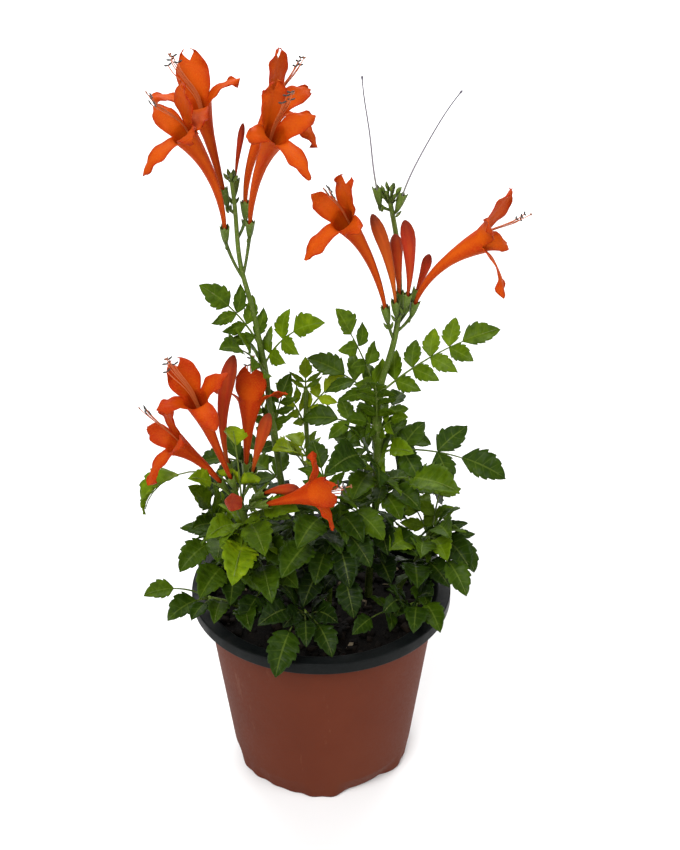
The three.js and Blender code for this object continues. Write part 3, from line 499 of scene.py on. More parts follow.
def add_leaflet(shape, leaf, at, sign, size, width, angle, tone, random):
    """One toothed leaflet, creased along its midrib and puckered between its veins"""
    along, across = math.cos(angle), math.sin(angle)
    teeth = 2 + sum(size > limit for limit in TOOTH_SIZES)
    rows = leaflet_rows(teeth)
    u = np.repeat(rows[:, 0:1], len(COLUMNS), 1)
    w = np.repeat(rows[:, 1:2], len(COLUMNS), 1) * COLUMNS
    v = np.broadcast_to(COLUMNS, u.shape)
    far, out = u * size, w * width / 2
    stalk = STALK_WIDTH * (0.5 - 0.18 * (at / leaf["length"]) ** 2) * 0.5
    s = at + far * along - out * across
    t = sign * (stalk * across + far * across + out * along)
    off = np.abs(v)
    vein = teeth * (u - TEETH_START) / TEETH_SHARE - VEIN_SLANT * off
    pucker = np.sin(TAU * vein) * off * (1 - off) * 4
    crease = 0.2 + 0.16 * random()
    twist = 0.35 * (random() - 0.5)
    nod = 0.25 * (random() - 0.65)
    raised = (crease * (np.abs(w) - 0.2) * off + twist * w) * width / 2
    raised += nod * size * u ** 2 + PUCKER * size * pucker
    raised += 0.03 * size * np.sin(7 * u + 6 * random()) * off
    faces = grid_faces(len(rows), len(COLUMNS))
    if sign < 0:
        faces = [face[::-1] for face in faces]
    shape.add(leaf_point(leaf, s, t, raised), faces, along=u, across=v, veins=float(teeth),
              tone=np.clip(tone + LEAFLET_TONES * (random() - 0.5), 0, 1))


def add_leaf(blades, stalks, leaf, tone):
    random = seeded(leaf["index"] * LEAFLET_SEED[0] + LEAFLET_SEED[1])
    pairs, leaflet, length = leaf["pairs"], leaf["leaflet"], leaf["length"]
    end = min(leaflet * END_LEAFLET, length * 0.6) if pairs else min(leaflet, length * 0.9)
    end_at = length - end
    step = end_at * (1 - STALK_SHARE) / pairs if pairs else 0
    breadth = min(leaflet * BREADTH, step * math.sin(SPREAD) if pairs else leaflet)
    tone = tone + LEAF_TONES * (random() - 0.5)
    for k in range(pairs):
        at = end_at - (pairs - k - 0.3) * step
        for sign in (-1, 1):
            size = leaflet * (0.94 + 0.12 * random())
            add_leaflet(blades, leaf, at, sign, size, breadth, SPREAD, tone, random)
    add_leaflet(blades, leaf, end_at, 1, end, end * BREADTH, 0, tone, random)
    s = np.linspace(0, length - 0.1 * end, RIB_STEPS)
    middle = leaf_point(leaf, s, np.zeros(RIB_STEPS), -RIB_DEPTH)
    radius = RIB_RADIUS - RIB_TAPER * (s / length) ** 0.8
    add_tube(stalks, middle, radius, RIB_SIDES, tone=tone * 0.6 + 0.3, rise=s / length)


# ---- Shoots --------------------------------------------------------------------------------

ROOT_HOLE_FLOOR = 79
GAP = 0.3
SOIL_LEVEL = 90
STEM_STEPS, STEM_SIDES = 10, 12
KNOT, KNOT_STEPS = 0.22, 1.6        # how much and how far a stem swells at a leaf
CALYX_RINGS = [(0, 0.9), (0.6, 1.1), (1.6, 1.35), (3.2, 1.65), (5.2, 1.9), (7.0, 2.08)]
CALYX_FLOOR, CALYX_FLOOR_RADIUS = 4, 1
CALYX_INSIDE = [(7.1, 1.75), (5.5, 1.45), (CALYX_FLOOR, CALYX_FLOOR_RADIUS)]
CALYX_LIP = (7.2, 2.05)             # as in the rings: height above the foot, radius
CALYX_TEETH, TOOTH_HEIGHT, TOOTH_FLARE, RIB_SHARE = 5, 1.5, 0.3, 0.07
FLOWER_STALK, FLOWER_STALK_FLARE = 0.66, 0.24
SIDE_BUD = (0.75, 0.65, 2.0)        # half axes
TOP_BUD = (0.72, 0.72, 1.6)         # half axes, by the bud's radius
GOLDEN = 3 - math.sqrt(5)           # of half a turn from each top bud to the next
TOP_BUDS = {
    "tall_left": {"centre": (-37.2, 0, 313), "spread": 1.8, "count": 7, "radius": 1.2},
    "tall_right": {"centre": (31, 0, 305), "spread": 3.2, "count": 15, "radius": 1.15},
}


def shoot_points(route):
    x, y = route[0][:2]
    return np.array([[x, y, ROOT_HOLE_FLOOR + GAP], [x, y, SOIL_LEVEL + 3], *route], float)


def along_shoot(points, share):
    """The Catmull-Rom curve through the points, as in the CAD source"""
    count = len(points)
    place = min(max(share, 0), 1) * (count - 1)
    k = min(int(place), count - 2)
    w = place - k
    before = points[k - 1] if k else 2 * points[0] - points[1]
    after = points[k + 2] if k + 2 < count else 2 * points[-1] - points[-2]
    p, q = points[k], points[k + 1]
    p_slope, q_slope = 0.5 * (q - before), 0.5 * (after - p)
    return (p + p_slope * w + (3 * (q - p) - 2 * p_slope - q_slope) * w ** 2
            + (2 * (p - q) + p_slope + q_slope) * w ** 3)


def share_of(shoot, place):
    """A place along the route as a share of the whole shoot, whose root adds two points"""
    return (place + 2) / (len(shoot["route"]) + 1)


def place_on(shoot, place):
    return along_shoot(shoot_points(shoot["route"]), share_of(shoot, place))


def add_stem(shape, shoot):
    """The stem, a little swollen where each leaf grows"""
    points = shoot_points(shoot["route"])
    steps = STEM_STEPS * (len(points) - 1)
    shares = np.linspace(0, 1, steps + 1)
    line = np.array([along_shoot(points, share) for share in shares])
    low, high = shoot["radii"]
    radii = low + (high - low) * shares
    for row in shoot["leaves"]:
        off = (shares - share_of(shoot, row[0])) * steps
        radii = radii * (1 + KNOT * np.exp(-(off / KNOT_STEPS) ** 2))
    add_tube(shape, line, radii, STEM_SIDES, tone=0.35 + 0.4 * shares, rise=shares)


def add_calyx(shape, shoot, flower):
    """A stalk, a slim ribbed cup with five teeth, and two small side buds at its foot"""
    foot, first = flower["foot"], flower["first"]
    root = place_on(shoot, flower["at"])
    bend = 0.65 * (foot + root) / 2 + 0.35 * (foot - first * np.linalg.norm(foot - root) / 2)
    t = np.linspace(0, 1, 12)[:, None]
    stalk = bezier(root, bend, foot + 0.3 * first, t)
    radii = FLOWER_STALK + FLOWER_STALK_FLARE * t[:, 0] ** 2
    add_tube(shape, stalk, radii, 8, tone=0.5, rise=0.8)
    across = unit(np.cross(first, foot - root))
    over = np.cross(first, across)
    count = 6 * CALYX_TEETH
    turn = turns(count)
    ring = ring_round(across, over, turn)
    tooth = np.abs(((turn * CALYX_TEETH / TAU) % 1) * 2 - 1)[:, None] ** 1.6
    levels = []
    for height, radius in CALYX_RINGS:
        ribbed = radius * (1 + RIB_SHARE * np.cos(turn * CALYX_TEETH) * smooth(height / 2))
        levels.append(foot + first * height + ring * ribbed[:, None])
    outside = len(levels) + 1
    for height, radius in [CALYX_LIP, *CALYX_INSIDE]:
        high = tooth * (height > 7)
        levels.append(foot + first * (height + TOOTH_HEIGHT * high)
                      + ring * (radius + TOOTH_FLARE * high))
    tone = np.concatenate([np.linspace(0.45, 0.75, outside), np.full(len(levels) - outside, 0.3)])
    shape.add(levels, capped_faces(len(levels), count), tone=np.repeat(tone, count), rise=0.9)
    for lean in (-1, 1):
        aside = unit(lean * across + 0.25 * over)
        along = unit(0.5 * aside + first)
        wide = unit(np.cross(along, over))
        axes = [v * k for v, k in zip((wide, np.cross(along, wide), along), SIDE_BUD)]
        add_ball(shape, foot - 1.4 * first + 1.5 * aside, axes, tip=0.5, tone=0.55, rise=0.9)


def add_top_buds(shape, centre, spread, count, radius):
    """A tuft of small green buds, each a club on its own short stalk"""
    centre = np.array(centre, float)
    foot = centre - 1.4 * spread * UP
    add_ball(shape, centre - 0.4 * spread * UP, np.eye(3) * spread * 0.5, tone=0.4, rise=0.9)
    for k in range(count):
        turn = k * math.pi * GOLDEN
        level = 1 - 1.25 * (k + 0.5) / count
        flat = math.sqrt(1 - level ** 2)
        out = np.array([flat * math.cos(turn), flat * math.sin(turn), level])
        tier = (k % 3) / 2
        head = centre + out * spread * (1.15 + 0.25 * tier) + 0.3 * spread * UP
        along = unit(head - foot)
        across = unit(np.cross(along, [0.3, 0.9, 0.1]))
        add_tube(shape, np.array([foot + 0.3 * (head - foot), head]), radius * 0.32, 6,
                 tone=0.5, rise=0.9)
        axes = [v * radius * k for v, k in zip((across, np.cross(along, across), along), TOP_BUD)]
        add_ball(shape, head, axes, tip=0.45, tone=0.4 + 0.3 * tier, rise=1.0)


# ---- Flowers -------------------------------------------------------------------------------

PETAL = 0.35                        # thickness of a petal
MIDLINE_BEND = 0.55
MOUTH = 5.2
TUBE = [(0, 0.55), (0.12, 0.85), (0.25, 1.2), (0.45, 1.7), (0.65, 2.4), (0.78, 3.2), (0.9, 4.25),
        (0.96, 4.8), (1, MOUTH)]
BUD = [(0, 0.55), (0.12, 0.8), (0.25, 1.2), (0.4, 1.8), (0.6, 2.6), (0.76, 3.15), (0.86, 3.1),
       (0.93, 2.4), (0.97, 1.6), (0.993, 0.7), (1, 0.05)]
TUBE_ROWS = np.linspace(0, 1, 40)
BUD_ROWS = np.concatenate([np.linspace(0, 0.76, 26), np.linspace(0.79, 0.93, 8),
                           [0.95, 0.97, 0.985, 0.993, 1.0]])
BUD_SIDES = 40
SIDE_LOBE = {"length": 14, "width": 4.7, "lean": 30, "curl": 70, "notch": 0}
LOBES = [
    {"length": 18, "width": 7.0, "lean": 16, "curl": 26, "notch": 0.25}, SIDE_LOBE,
    {"length": 17, "width": 4.5, "lean": 65, "curl": 50, "notch": 0}, SIDE_LOBE,
]
LOBE_WIDEST = 0.45
LOBE_COLUMNS, LOBE_ROWS = 12, 16
FLOWER_SEED, STAMEN_SEED = 11, 31
# How strongly the lobes wave, frill, cup, fold at the root and wander at the edge
LOBE_WAVE, LOBE_FRILL, LOBE_CUP, LOBE_FOLD, LOBE_EDGE = 1.5, 0.9, 1.0, 0.45, 0.13
# A strand's radius, how far its two tips point outwards, their length and their shade
ANTHER, STIGMA = (0.24, 0.35, 1.15, 1.0), (0.2, 0.9, 0.6, 0.4)
TIP_RADII = (0.42, 0.35)
# How far out of the mouth, back and aside each stamen ends, and last the style
STRANDS = [((16.5, 7.2, -2.0), ANTHER), ((19.0, 8.4, -0.7), ANTHER), ((18.0, 8.0, 0.8), ANTHER),
           ((15.6, 6.6, 2.1), ANTHER), ((20.5, 7.0, 0.2), STIGMA)]
STRAND_STEPS, STRAND_SIDES = 16, 6


def midline(flower):
    """The flower's curve from its calyx to its mouth, and the directions along and across it"""
    start, end, first = flower["foot"], flower["mouth"], flower["first"]
    begin = start + first * (CALYX_FLOOR + 1.5 * GAP)
    bend = start + first * np.linalg.norm(end - start) * MIDLINE_BEND
    plane, roll = unit(np.cross(end - start, first)), math.radians(flower.get("roll", 0))

    def at(share):
        return bezier(begin, bend, end, np.asarray(share, float)[..., None])

    def tangent(share):
        share = np.asarray(share, float)[..., None]
        t = 2 * (1 - share) * (bend - begin) + 2 * share * (end - bend)
        return t / np.linalg.norm(t, axis=-1, keepdims=True)

    def across(along):
        return plane * math.cos(roll) + np.cross(along, plane) * math.sin(roll)
    return at, tangent, across


def frame_at(flower, shares):
    """The midline's points at some shares of it, and the directions along, across and back"""
    at, tangent, across = midline(flower)
    along = tangent(shares)
    side = across(along)
    return at(shares), along, side, np.cross(side, along)


def tube_rings(flower, profile, shares, count, ribs=0.0):
    points, _, across, back = frame_at(flower, shares)
    turn = turns(count)
    radius = np.interp(shares, *np.array(profile).T)[:, None] * np.ones(count)
    radius *= 1 + ribs * np.cos(5 * turn)[None] * smooth(shares * 1.6)[:, None]
    ring = ring_round(back[:, None], across[:, None], turn)
    return points[:, None] + ring * radius[..., None], turn


def lobe_half_width(lobe, share):
    root = MOUTH * math.sqrt(0.5)
    if share > LOBE_WIDEST:
        return lobe["width"] * math.sqrt(max(0.0, 1 - ((share - LOBE_WIDEST) / 0.56) ** 2))
    return root + (lobe["width"] - root) * math.sin(share / LOBE_WIDEST * math.pi / 2)


def lobe_points(mouth, lobe, quarter, random):
    """A lobe widens out of the throat's ring and curls back along an arc, with wavy edges."""
    point, along, across, back = mouth

    def around(angle):
        return back * math.cos(angle) + across * math.sin(angle)
    angle = quarter * math.pi / 2
    out, sideways = around(angle), around(angle + math.pi / 2)
    lean = math.radians(lobe["lean"])
    curl = math.radians(lobe["curl"]) * (0.85 + 0.3 * random())
    bow = lobe["length"] / curl
    phase = 6 * random()
    rows = []
    for i in range(1, LOBE_ROWS + 1):
        for j in range(LOBE_COLUMNS + 1):
            v = 2 * j / LOBE_COLUMNS - 1
            share = i / LOBE_ROWS
            share *= 1 - lobe["notch"] * (1 - abs(v)) ** 1.3 * share ** 3
            turn = lean + curl * share
            spread = v * (lobe_half_width(lobe, share) - lobe_half_width(lobe, 0))
            facing = along * math.sin(turn) - out * math.cos(turn)
            wave = LOBE_WAVE * share * v * v * math.sin(9 * share + phase + 2 * v)
            wave += LOBE_FRILL * share ** 2 * abs(v) * math.sin(19 * share + 2 * phase - 3 * v)
            fold = LOBE_FOLD * share * math.cos(3 * math.pi * v) * (1 - share)
            wave -= LOBE_CUP * share * v * v + fold
            spread *= 1 + LOBE_EDGE * share * math.sin(13 * share + 3 * phase * v)
            rows.append(point + around(angle + v * math.pi / 4) * MOUTH
                        + along * bow * (math.sin(turn) - math.sin(lean))
                        + out * bow * (math.cos(lean) - math.cos(turn))
                        + sideways * spread + facing * wave)
    return rows


def add_bloom(shape, flower, tone, seed):
    """A ribbed tube, and four lobes joined to its mouth"""
    random = seeded(seed)
    count = 4 * LOBE_COLUMNS
    rings, turn = tube_rings(flower, TUBE, TUBE_ROWS, count, ribs=0.035)
    shape.add(rings, grid_faces(len(rings), count, closed=True),
              tone=np.tile(tone + 0.35 + 0.25 * np.cos(4 * turn), len(rings)),
              along=np.repeat(TUBE_ROWS * 0.7, count), across=np.tile(turn / TAU, len(rings)))
    last = (len(rings) - 1) * count
    mouth = frame_at(flower, 1.0)
    v = np.linspace(-1, 1, LOBE_COLUMNS + 1)
    rows = np.arange(1, LOBE_ROWS + 1) / LOBE_ROWS
    for quarter, plain in enumerate(LOBES):
        lobe = plain | {"length": plain["length"] * flower["lobes"]}
        first = shape.count
        points = lobe_points(mouth, lobe, quarter, random)
        shape.add(points, grid_faces(LOBE_ROWS, LOBE_COLUMNS + 1),
                  tone=tone + 0.8 - 0.7 * v ** 2 - 0.3 * rows[:, None],
                  along=np.repeat(0.7 + 0.3 * rows, LOBE_COLUMNS + 1),
                  across=np.tile((quarter + v / 2) / 4, LOBE_ROWS))
        corner = quarter * LOBE_COLUMNS - LOBE_COLUMNS // 2
        rim = [last + (corner + j) % count for j in range(LOBE_COLUMNS + 1)]
        shape.faces += [(rim[j], rim[j + 1], first + j + 1, first + j) for j in range(LOBE_COLUMNS)]
        shape.slots += [0] * LOBE_COLUMNS


def add_stamens(shape, flower, seed):
    """Four stamens with two-lobed anthers, and the style, out under the upper lip"""
    random = seeded(seed + STAMEN_SEED)
    mouth, along, across, back = frame_at(flower, 1.0)
    inside = frame_at(flower, 0.5)[0]
    t = np.linspace(0, 1, STRAND_STEPS)[:, None]
    drift = np.array(flower.get("drift", (0, 0, 0)), float) * smooth(2 * t - 1)
    for (out, up, aside), (thick, lean_out, length, part) in STRANDS:
        out, up = out + 1.5 * (random() - 0.5), up + 1.2 * (random() - 0.5)
        lip = mouth + back * 2.3 + across * aside * 0.4
        end = mouth + along * out + back * up + across * aside
        line = bezier(inside, 2 * lip - (inside + end) / 2, end, t) + drift
        add_tube(shape, line, thick, STRAND_SIDES, part=0.0)
        tip = unit(line[-1] - line[-2])
        side = unit(np.cross(tip, back) + 0.2 * back)
        for lean in (-1, 1):
            axis = unit(side * lean + tip * lean_out)
            wide = unit(np.cross(axis, back))
            axes = (wide * TIP_RADII[0], np.cross(axis, wide) * TIP_RADII[1], axis * length)
            add_ball(shape, line[-1] + axis * length * 0.8, axes, part=part)


def add_bud(shape, flower):
    """A closed flower, its lobes folded over each other at the tip"""
    rings, turn = tube_rings(flower, np.array(BUD) * [1, flower["girth"]], BUD_ROWS, BUD_SIDES)
    centre, shares = frame_at(flower, BUD_ROWS)[0][:, None], BUD_ROWS[:, None]
    folds = 0.07 * np.cos(5 * turn[None] + 6 * shares) * smooth((shares - 0.3) * 2)
    folded = centre + (rings - centre) * (1 + folds[..., None])
    shape.add(folded, capped_faces(len(rings), BUD_SIDES),
              tone=flower["tone"] + 0.2 * np.cos(5 * np.tile(turn, len(rings))),
              along=np.repeat(BUD_ROWS, BUD_SIDES), across=np.tile(turn / TAU, len(rings)))


def add_thread(shape, flower):
    """A dry style with its small flat tip"""
    shares = np.concatenate([np.linspace(0, 0.96, 40), [0.97, 0.98, 0.99, 1.0]])
    radii = np.concatenate([np.linspace(0.42, 0.26, 40), [0.34, 0.5, 0.48, 0.2]])
    points, _, across, _ = frame_at(flower, shares)
    add_tube(shape, points + across * (0.25 * np.sin(9 * shares))[:, None], radii, 8, along=shares)


# ---- Pot and soil --------------------------------------------------------------------------

POT_HEIGHT, RIM_RADIUS, NECK_RADIUS, BASE_RADIUS, FOOT_RADIUS = 102, 65, 58.4, 45.5, 47.1
POT_WALL, RIM_THICKNESS, LIP_DROP, LIP_WALL = 1.2, 2.2, 6, 1.4
UNDER_RIM = POT_HEIGHT - RIM_THICKNESS
DENTS, DENT_DEPTH, DENT_HEIGHT, FIRST_DENT = 6, 4, 11, math.radians(-58)
SHALLOW_DENT, DENT_REACH = 0.35, math.radians(12)
RIPPLES, RIPPLE_DEPTH, RIPPLE_HEIGHT = 27, 0.35, 16
DRAIN_RADIUS, DRAIN_CIRCLE = 4, 30
POT_SIDES, SOIL_SIDES, SOIL_ROWS = 180, 120, 44
SOIL_FOOT = [(37.5, 1.5), (45.1, DENT_HEIGHT + 1)]      # radius, height
SOIL_GAP = 1.8                      # from the pot's outside to the soil's edge
CHIPS, CHIP_SEED, CHIP_CIRCLE, CHIP_SIZES, PALE_CHIPS = 420, 5, 53, (2.0, 7.0), 0.06


def rounded(corners, radius, steps=4):
    """A profile with each corner but the first and last rounded"""
    points = [corners[0]]
    for before, corner, after in zip(corners, corners[1:], corners[2:]):
        p, q, r = (np.array(x, float) for x in (before, corner, after))
        reach = min(radius, 0.45 * np.linalg.norm(p - q), 0.45 * np.linalg.norm(r - q))
        a, b = q + unit(p - q) * reach, q + unit(r - q) * reach
        for k in range(steps + 1):
            t = k / steps
            points.append(tuple((1 - t) ** 2 * a + 2 * t * (1 - t) * q + t ** 2 * b))
    return points + [corners[-1]]


def subdivided(profile, pitch):
    """The profile with points added about a pitch apart"""
    points = [profile[0]]
    for (r0, z0), (r1, z1) in zip(profile, profile[1:]):
        steps = max(1, int(math.hypot(r1 - r0, z1 - z0) / pitch))
        points += [(r0 + (r1 - r0) * k / steps, z0 + (z1 - z0) * k / steps)
                   for k in range(1, steps + 1)]
    return points


def add_pot(shape):
    """A lathed shell whose foot is pressed in; what faces out below the rim is terracotta"""
    wall = subdivided(rounded([
        (0, 0), (BASE_RADIUS - 0.6, 0), (BASE_RADIUS + 0.3, 1.6), (FOOT_RADIUS, DENT_HEIGHT),
        (NECK_RADIUS, UNDER_RIM)], 2.0), 2.2)[1:-1]
    lip = RIM_RADIUS - LIP_WALL
    rim = rounded([
        (NECK_RADIUS, UNDER_RIM), (lip, UNDER_RIM), (lip, POT_HEIGHT - LIP_DROP),
        (RIM_RADIUS, POT_HEIGHT - LIP_DROP), (RIM_RADIUS, POT_HEIGHT),
        (NECK_RADIUS + 0.4, POT_HEIGHT), (NECK_RADIUS - POT_WALL, UNDER_RIM)], 0.8)
    inside = subdivided([
        rim[-1], (FOOT_RADIUS - POT_WALL, DENT_HEIGHT), (BASE_RADIUS - 1.6, 2.4),
        (BASE_RADIUS - 2.4, POT_WALL), (0, POT_WALL)], 3)[1:-1]
    profile = np.array(wall + rim + inside)
    turn = turns(POT_SIDES)
    pitch = TAU / DENTS
    nearest = np.round((turn - FIRST_DENT) / pitch)
    off = np.abs(turn - FIRST_DENT - pitch * nearest)
    dent = smooth(2 - off / DENT_REACH) * np.where(nearest % 2, SHALLOW_DENT, 1)
    radius, height = profile[:, 0:1], profile[:, 1:2]
    press = DENT_DEPTH * dent * np.clip(1 - height / DENT_HEIGHT, 0, 1) * (radius > BASE_RADIUS / 2)
    ripple = (RIPPLE_DEPTH * np.sin(RIPPLES * turn) * smooth(1 - height / RIPPLE_HEIGHT)
              * (radius > BASE_RADIUS - 4))
    radius = radius - press - ripple * (1 - dent)
    height = height * np.ones(POT_SIDES)
    rings = np.stack([radius * np.cos(turn), radius * np.sin(turn), height], -1)
    faces = grid_faces(len(rings), POT_SIDES, closed=True)
    slots = [int(face[0] // POT_SIDES >= len(wall)) for face in faces]
    below = len(rings) * POT_SIDES
    faces += [(middle, b, a) for middle, a, b in fan_faces(below, 0, POT_SIDES)]
    faces += fan_faces(below + 1, below - POT_SIDES, POT_SIDES)
    points = np.vstack([rings.reshape(-1, 3), [[0, 0, 0], [0, 0, POT_WALL]]])
    shape.add(points, faces, slots + [0] * POT_SIDES + [1] * POT_SIDES)


def cut_drains(pot):
    """Cuts the drain holes through the pot's floor."""
    cutters = Shape()
    for k in range(DENTS):
        angle = FIRST_DENT + TAU * (k + 0.5) / DENTS
        centre = np.array([DRAIN_CIRCLE * math.cos(angle), DRAIN_CIRCLE * math.sin(angle), 0])
        add_tube(cutters, centre + UP * np.array([[-2.0], [4.0]]), DRAIN_RADIUS, 32)
    cutter = add_mesh("drains", np.vstack(cutters.points), cutters.faces)
    cut = pot.modifiers.new("drains", "BOOLEAN")
    cut.object, cut.operation, cut.solver = cutter, "DIFFERENCE", "EXACT"
    bpy.context.view_layer.update()
    graph = bpy.context.evaluated_depsgraph_get()
    pot.data = bpy.data.meshes.new_from_object(pot.evaluated_get(graph))
    pot.modifiers.clear()
    bpy.data.objects.remove(cutter)


def soil_height(x, y):
    place = Vector((x * 0.06, y * 0.06, 3.1))
    lumps = (noise.noise(place) * 2.6 + noise.noise(place * 3.1) * 1.5
             + noise.noise(place * 8.3) * 0.7)
    return SOIL_LEVEL + 0.6 * lumps


def add_soil(shape):
    """The fill of the pot, with a lumpy top"""
    rise = (SOIL_LEVEL - DENT_HEIGHT) / (UNDER_RIM - DENT_HEIGHT)
    edge = FOOT_RADIUS + (NECK_RADIUS - FOOT_RADIUS) * rise - SOIL_GAP
    turn = turns(SOIL_SIDES)
    points = [(r * math.cos(a), r * math.sin(a), z) for r, z in SOIL_FOOT for a in turn]
    for i in range(SOIL_ROWS):
        radius = edge * (1 - i / SOIL_ROWS)
        for a in turn:
            x, y = radius * math.cos(a), radius * math.sin(a)
            points.append((x, y, soil_height(x, y) - 1.2 * (i == 0)))
    rings = len(SOIL_FOOT) + SOIL_ROWS
    faces = capped_faces(rings, SOIL_SIDES)[:-1]
    faces += fan_faces(rings * SOIL_SIDES, (rings - 1) * SOIL_SIDES, SOIL_SIDES)
    shape.add([*points, (0, 0, soil_height(0, 0))], faces)


def add_chips(shape):
    """Broken bits of bark and peat lying on the soil"""
    random = np.random.default_rng(CHIP_SEED)
    small, large = CHIP_SIZES
    cube = np.array([(a, b, c) for a in (-1, 1) for b in (-1, 1) for c in (-1, 1)], float)
    faces = [(0, 1, 3, 2), (4, 6, 7, 5), (0, 4, 5, 1), (2, 3, 7, 6), (0, 2, 6, 4), (1, 5, 7, 3)]
    for _ in range(CHIPS):
        reach, turn = CHIP_CIRCLE * math.sqrt(random.random()), TAU * random.random()
        x, y = reach * math.cos(turn), reach * math.sin(turn)
        size = small + (large - small) * random.random() ** 2
        half = size * np.array([0.5, 0.18 + 0.24 * random.random(), 0.1 + 0.12 * random.random()])
        lean = Matrix.Rotation(TAU * random.random(), 3, "Z")
        for axis in "XY":
            lean = lean @ Matrix.Rotation(0.9 * (random.random() - 0.5), 3, axis)
        corners = cube * half * (0.65 + 0.5 * random.random((8, 3)))
        points = corners @ np.array(lean).T + [x, y, soil_height(x, y) + half[2] * 0.5]
        pale = random.random() < PALE_CHIPS
        tone = 0.75 + 0.25 * random.random() if pale else 0.4 * random.random()
        shape.add(points, faces, tone=tone)


# ---- Materials -----------------------------------------------------------------------------


def linear(code):
    """A colour for a shader, from its usual six hex digits"""
    values = [int(code[k:k + 2], 16) / 255 for k in (0, 2, 4)]
    return (*(v / 12.92 if v <= 0.04045 else ((v + 0.055) / 1.055) ** 2.4 for v in values), 1.0)


MIX_A, MIX_B, MIX_RESULT = 6, 7, 2      # a Mix node's colour sockets


class Paint:
    """A node material and short ways to add its nodes"""

    def __init__(self, name, roughness, **sockets):
        self.material = bpy.data.materials.new(name)
        self.material.use_nodes = True
        self.tree = self.material.node_tree
        self.shader = self.tree.nodes["Principled BSDF"]
        self.set("Roughness", roughness)
        for key, value in sockets.items():
            self.set(key.replace("_", " "), value)

    def node(self, kind, *given, output=0):
        """A new node whose first sockets take what is given, and one of its outputs"""
        node = self.tree.nodes.new(f"ShaderNode{kind}")
        for socket, value in zip(node.inputs, given):
            self.link(value, socket)
        return node, node.outputs[output]

    def link(self, value, socket):
        if isinstance(value, (int, float, tuple)):
            socket.default_value = value
        else:
            self.tree.links.new(value, socket)

    def set(self, name, value):
        self.link(value, self.shader.inputs[name])

    def value(self, name):
        """What the mesh says at each point under this name"""
        node, output = self.node("Attribute", output="Fac")
        node.attribute_name = name
        return output

    def math(self, operation, *given):
        node, output = self.node("Math", *given)
        node.operation = operation
        return output

    def plus(self, a, b):
        return self.math("ADD", a, b)

    def minus(self, a, b):
        return self.math("SUBTRACT", a, b)

    def times(self, a, b):
        return self.math("MULTIPLY", a, b)

    def varied(self, value, grain, amount):
        """A value moved up and down by a noise"""
        return self.plus(value, self.times(self.minus(grain, 0.5), amount))

    def position(self, *stretch):
        node, output = self.node("Mapping", self.node("TexCoord", output="Object")[1])
        node.inputs["Scale"].default_value = stretch or (1, 1, 1)
        return output

    def noise(self, scale, detail=3.0, roughness=0.6, at=None):
        node, _ = self.node("TexNoise", at or self.position())
        node.inputs["Scale"].default_value = scale
        node.inputs["Detail"].default_value = detail
        node.inputs["Roughness"].default_value = roughness
        return node.outputs["Fac"]

    def ramp(self, value, stops):
        """Colours, or plain numbers, at places from 0 to 1"""
        node, output = self.node("ValToRGB", value)
        elements = node.color_ramp.elements
        while len(elements) < len(stops):
            elements.new(0.5)
        for element, (place, colour) in zip(elements, stops):
            element.position = place
            element.color = linear(colour) if isinstance(colour, str) else (colour,) * 3 + (1,)
        return output

    def mix(self, share, a, b):
        node, output = self.node("Mix", share, output=MIX_RESULT)
        node.data_type = "RGBA"
        self.link(a, node.inputs[MIX_A])
        self.link(b, node.inputs[MIX_B])
        return output

    def bump(self, height, strength, distance):
        node, output = self.node("Bump")
        node.inputs["Strength"].default_value = strength
        node.inputs["Distance"].default_value = distance * MM
        self.link(height, node.inputs["Height"])
        self.set("Normal", output)


def leaf_paint():
    """Toothed leaves: deep or fresh green, with a pale midrib and side veins"""
    paint = Paint("leaf", 0.42, Specular_IOR_Level=0.07)
    along, across = paint.value("along"), paint.math("ABSOLUTE", paint.value("across"))
    mottled = paint.varied(paint.value("tone"), paint.noise(160, 4), 0.5)
    green = paint.ramp(mottled, [(0.0, "101e04"), (0.3, "203304"), (0.55, "384d05"),
                                 (0.78, "576e06"), (1.0, "86980c")])
    down = paint.math("DIVIDE", paint.minus(along, TEETH_START), TEETH_SHARE)
    wave = paint.minus(paint.times(paint.value("veins"), down), paint.times(across, VEIN_SLANT))
    side = paint.math("ABSOLUTE", paint.minus(paint.math("FRACT", wave), 0.5))
    side_vein = paint.times(paint.math("GREATER_THAN", side, 0.44), paint.minus(1.0, across))
    midrib = paint.math("LESS_THAN", across, 0.06)
    veins = paint.math("MAXIMUM", paint.times(side_vein, 0.35), paint.times(midrib, 0.5))
    edge = paint.times(paint.math("POWER", across, 6.0), 0.25)
    colour = paint.mix(veins, green, paint.mix(0.32, green, linear("86983c")))
    paint.set("Base Color", paint.mix(edge, colour, paint.mix(0.5, colour, linear("142408"))))
    paint.bump(paint.minus(paint.times(paint.noise(900, 2), 0.3), veins), 0.5, 0.12)
    paint.set("Roughness", paint.ramp(paint.noise(240, 2), [(0.3, 0.36), (0.7, 0.5)]))
    return paint.material


def stem_paint():
    """Green stems, browner and rougher low down, with pale specks"""
    paint = Paint("stem", 0.5, Specular_IOR_Level=0.2)
    grain = paint.noise(420, 3, at=paint.position(1, 1, 0.2))
    share = paint.varied(paint.value("tone"), grain, 0.5)
    colour = paint.ramp(share, [(0.0, "2b2912"), (0.35, "364213"), (0.6, "475a17"),
                                (1.0, "66792a")])
    specks = paint.math("GREATER_THAN", paint.noise(1500, 0), 0.68)
    paint.set("Base Color", paint.mix(paint.times(specks, 0.4), colour, linear("807a55")))
    paint.bump(grain, 0.4, 0.15)
    return paint.material


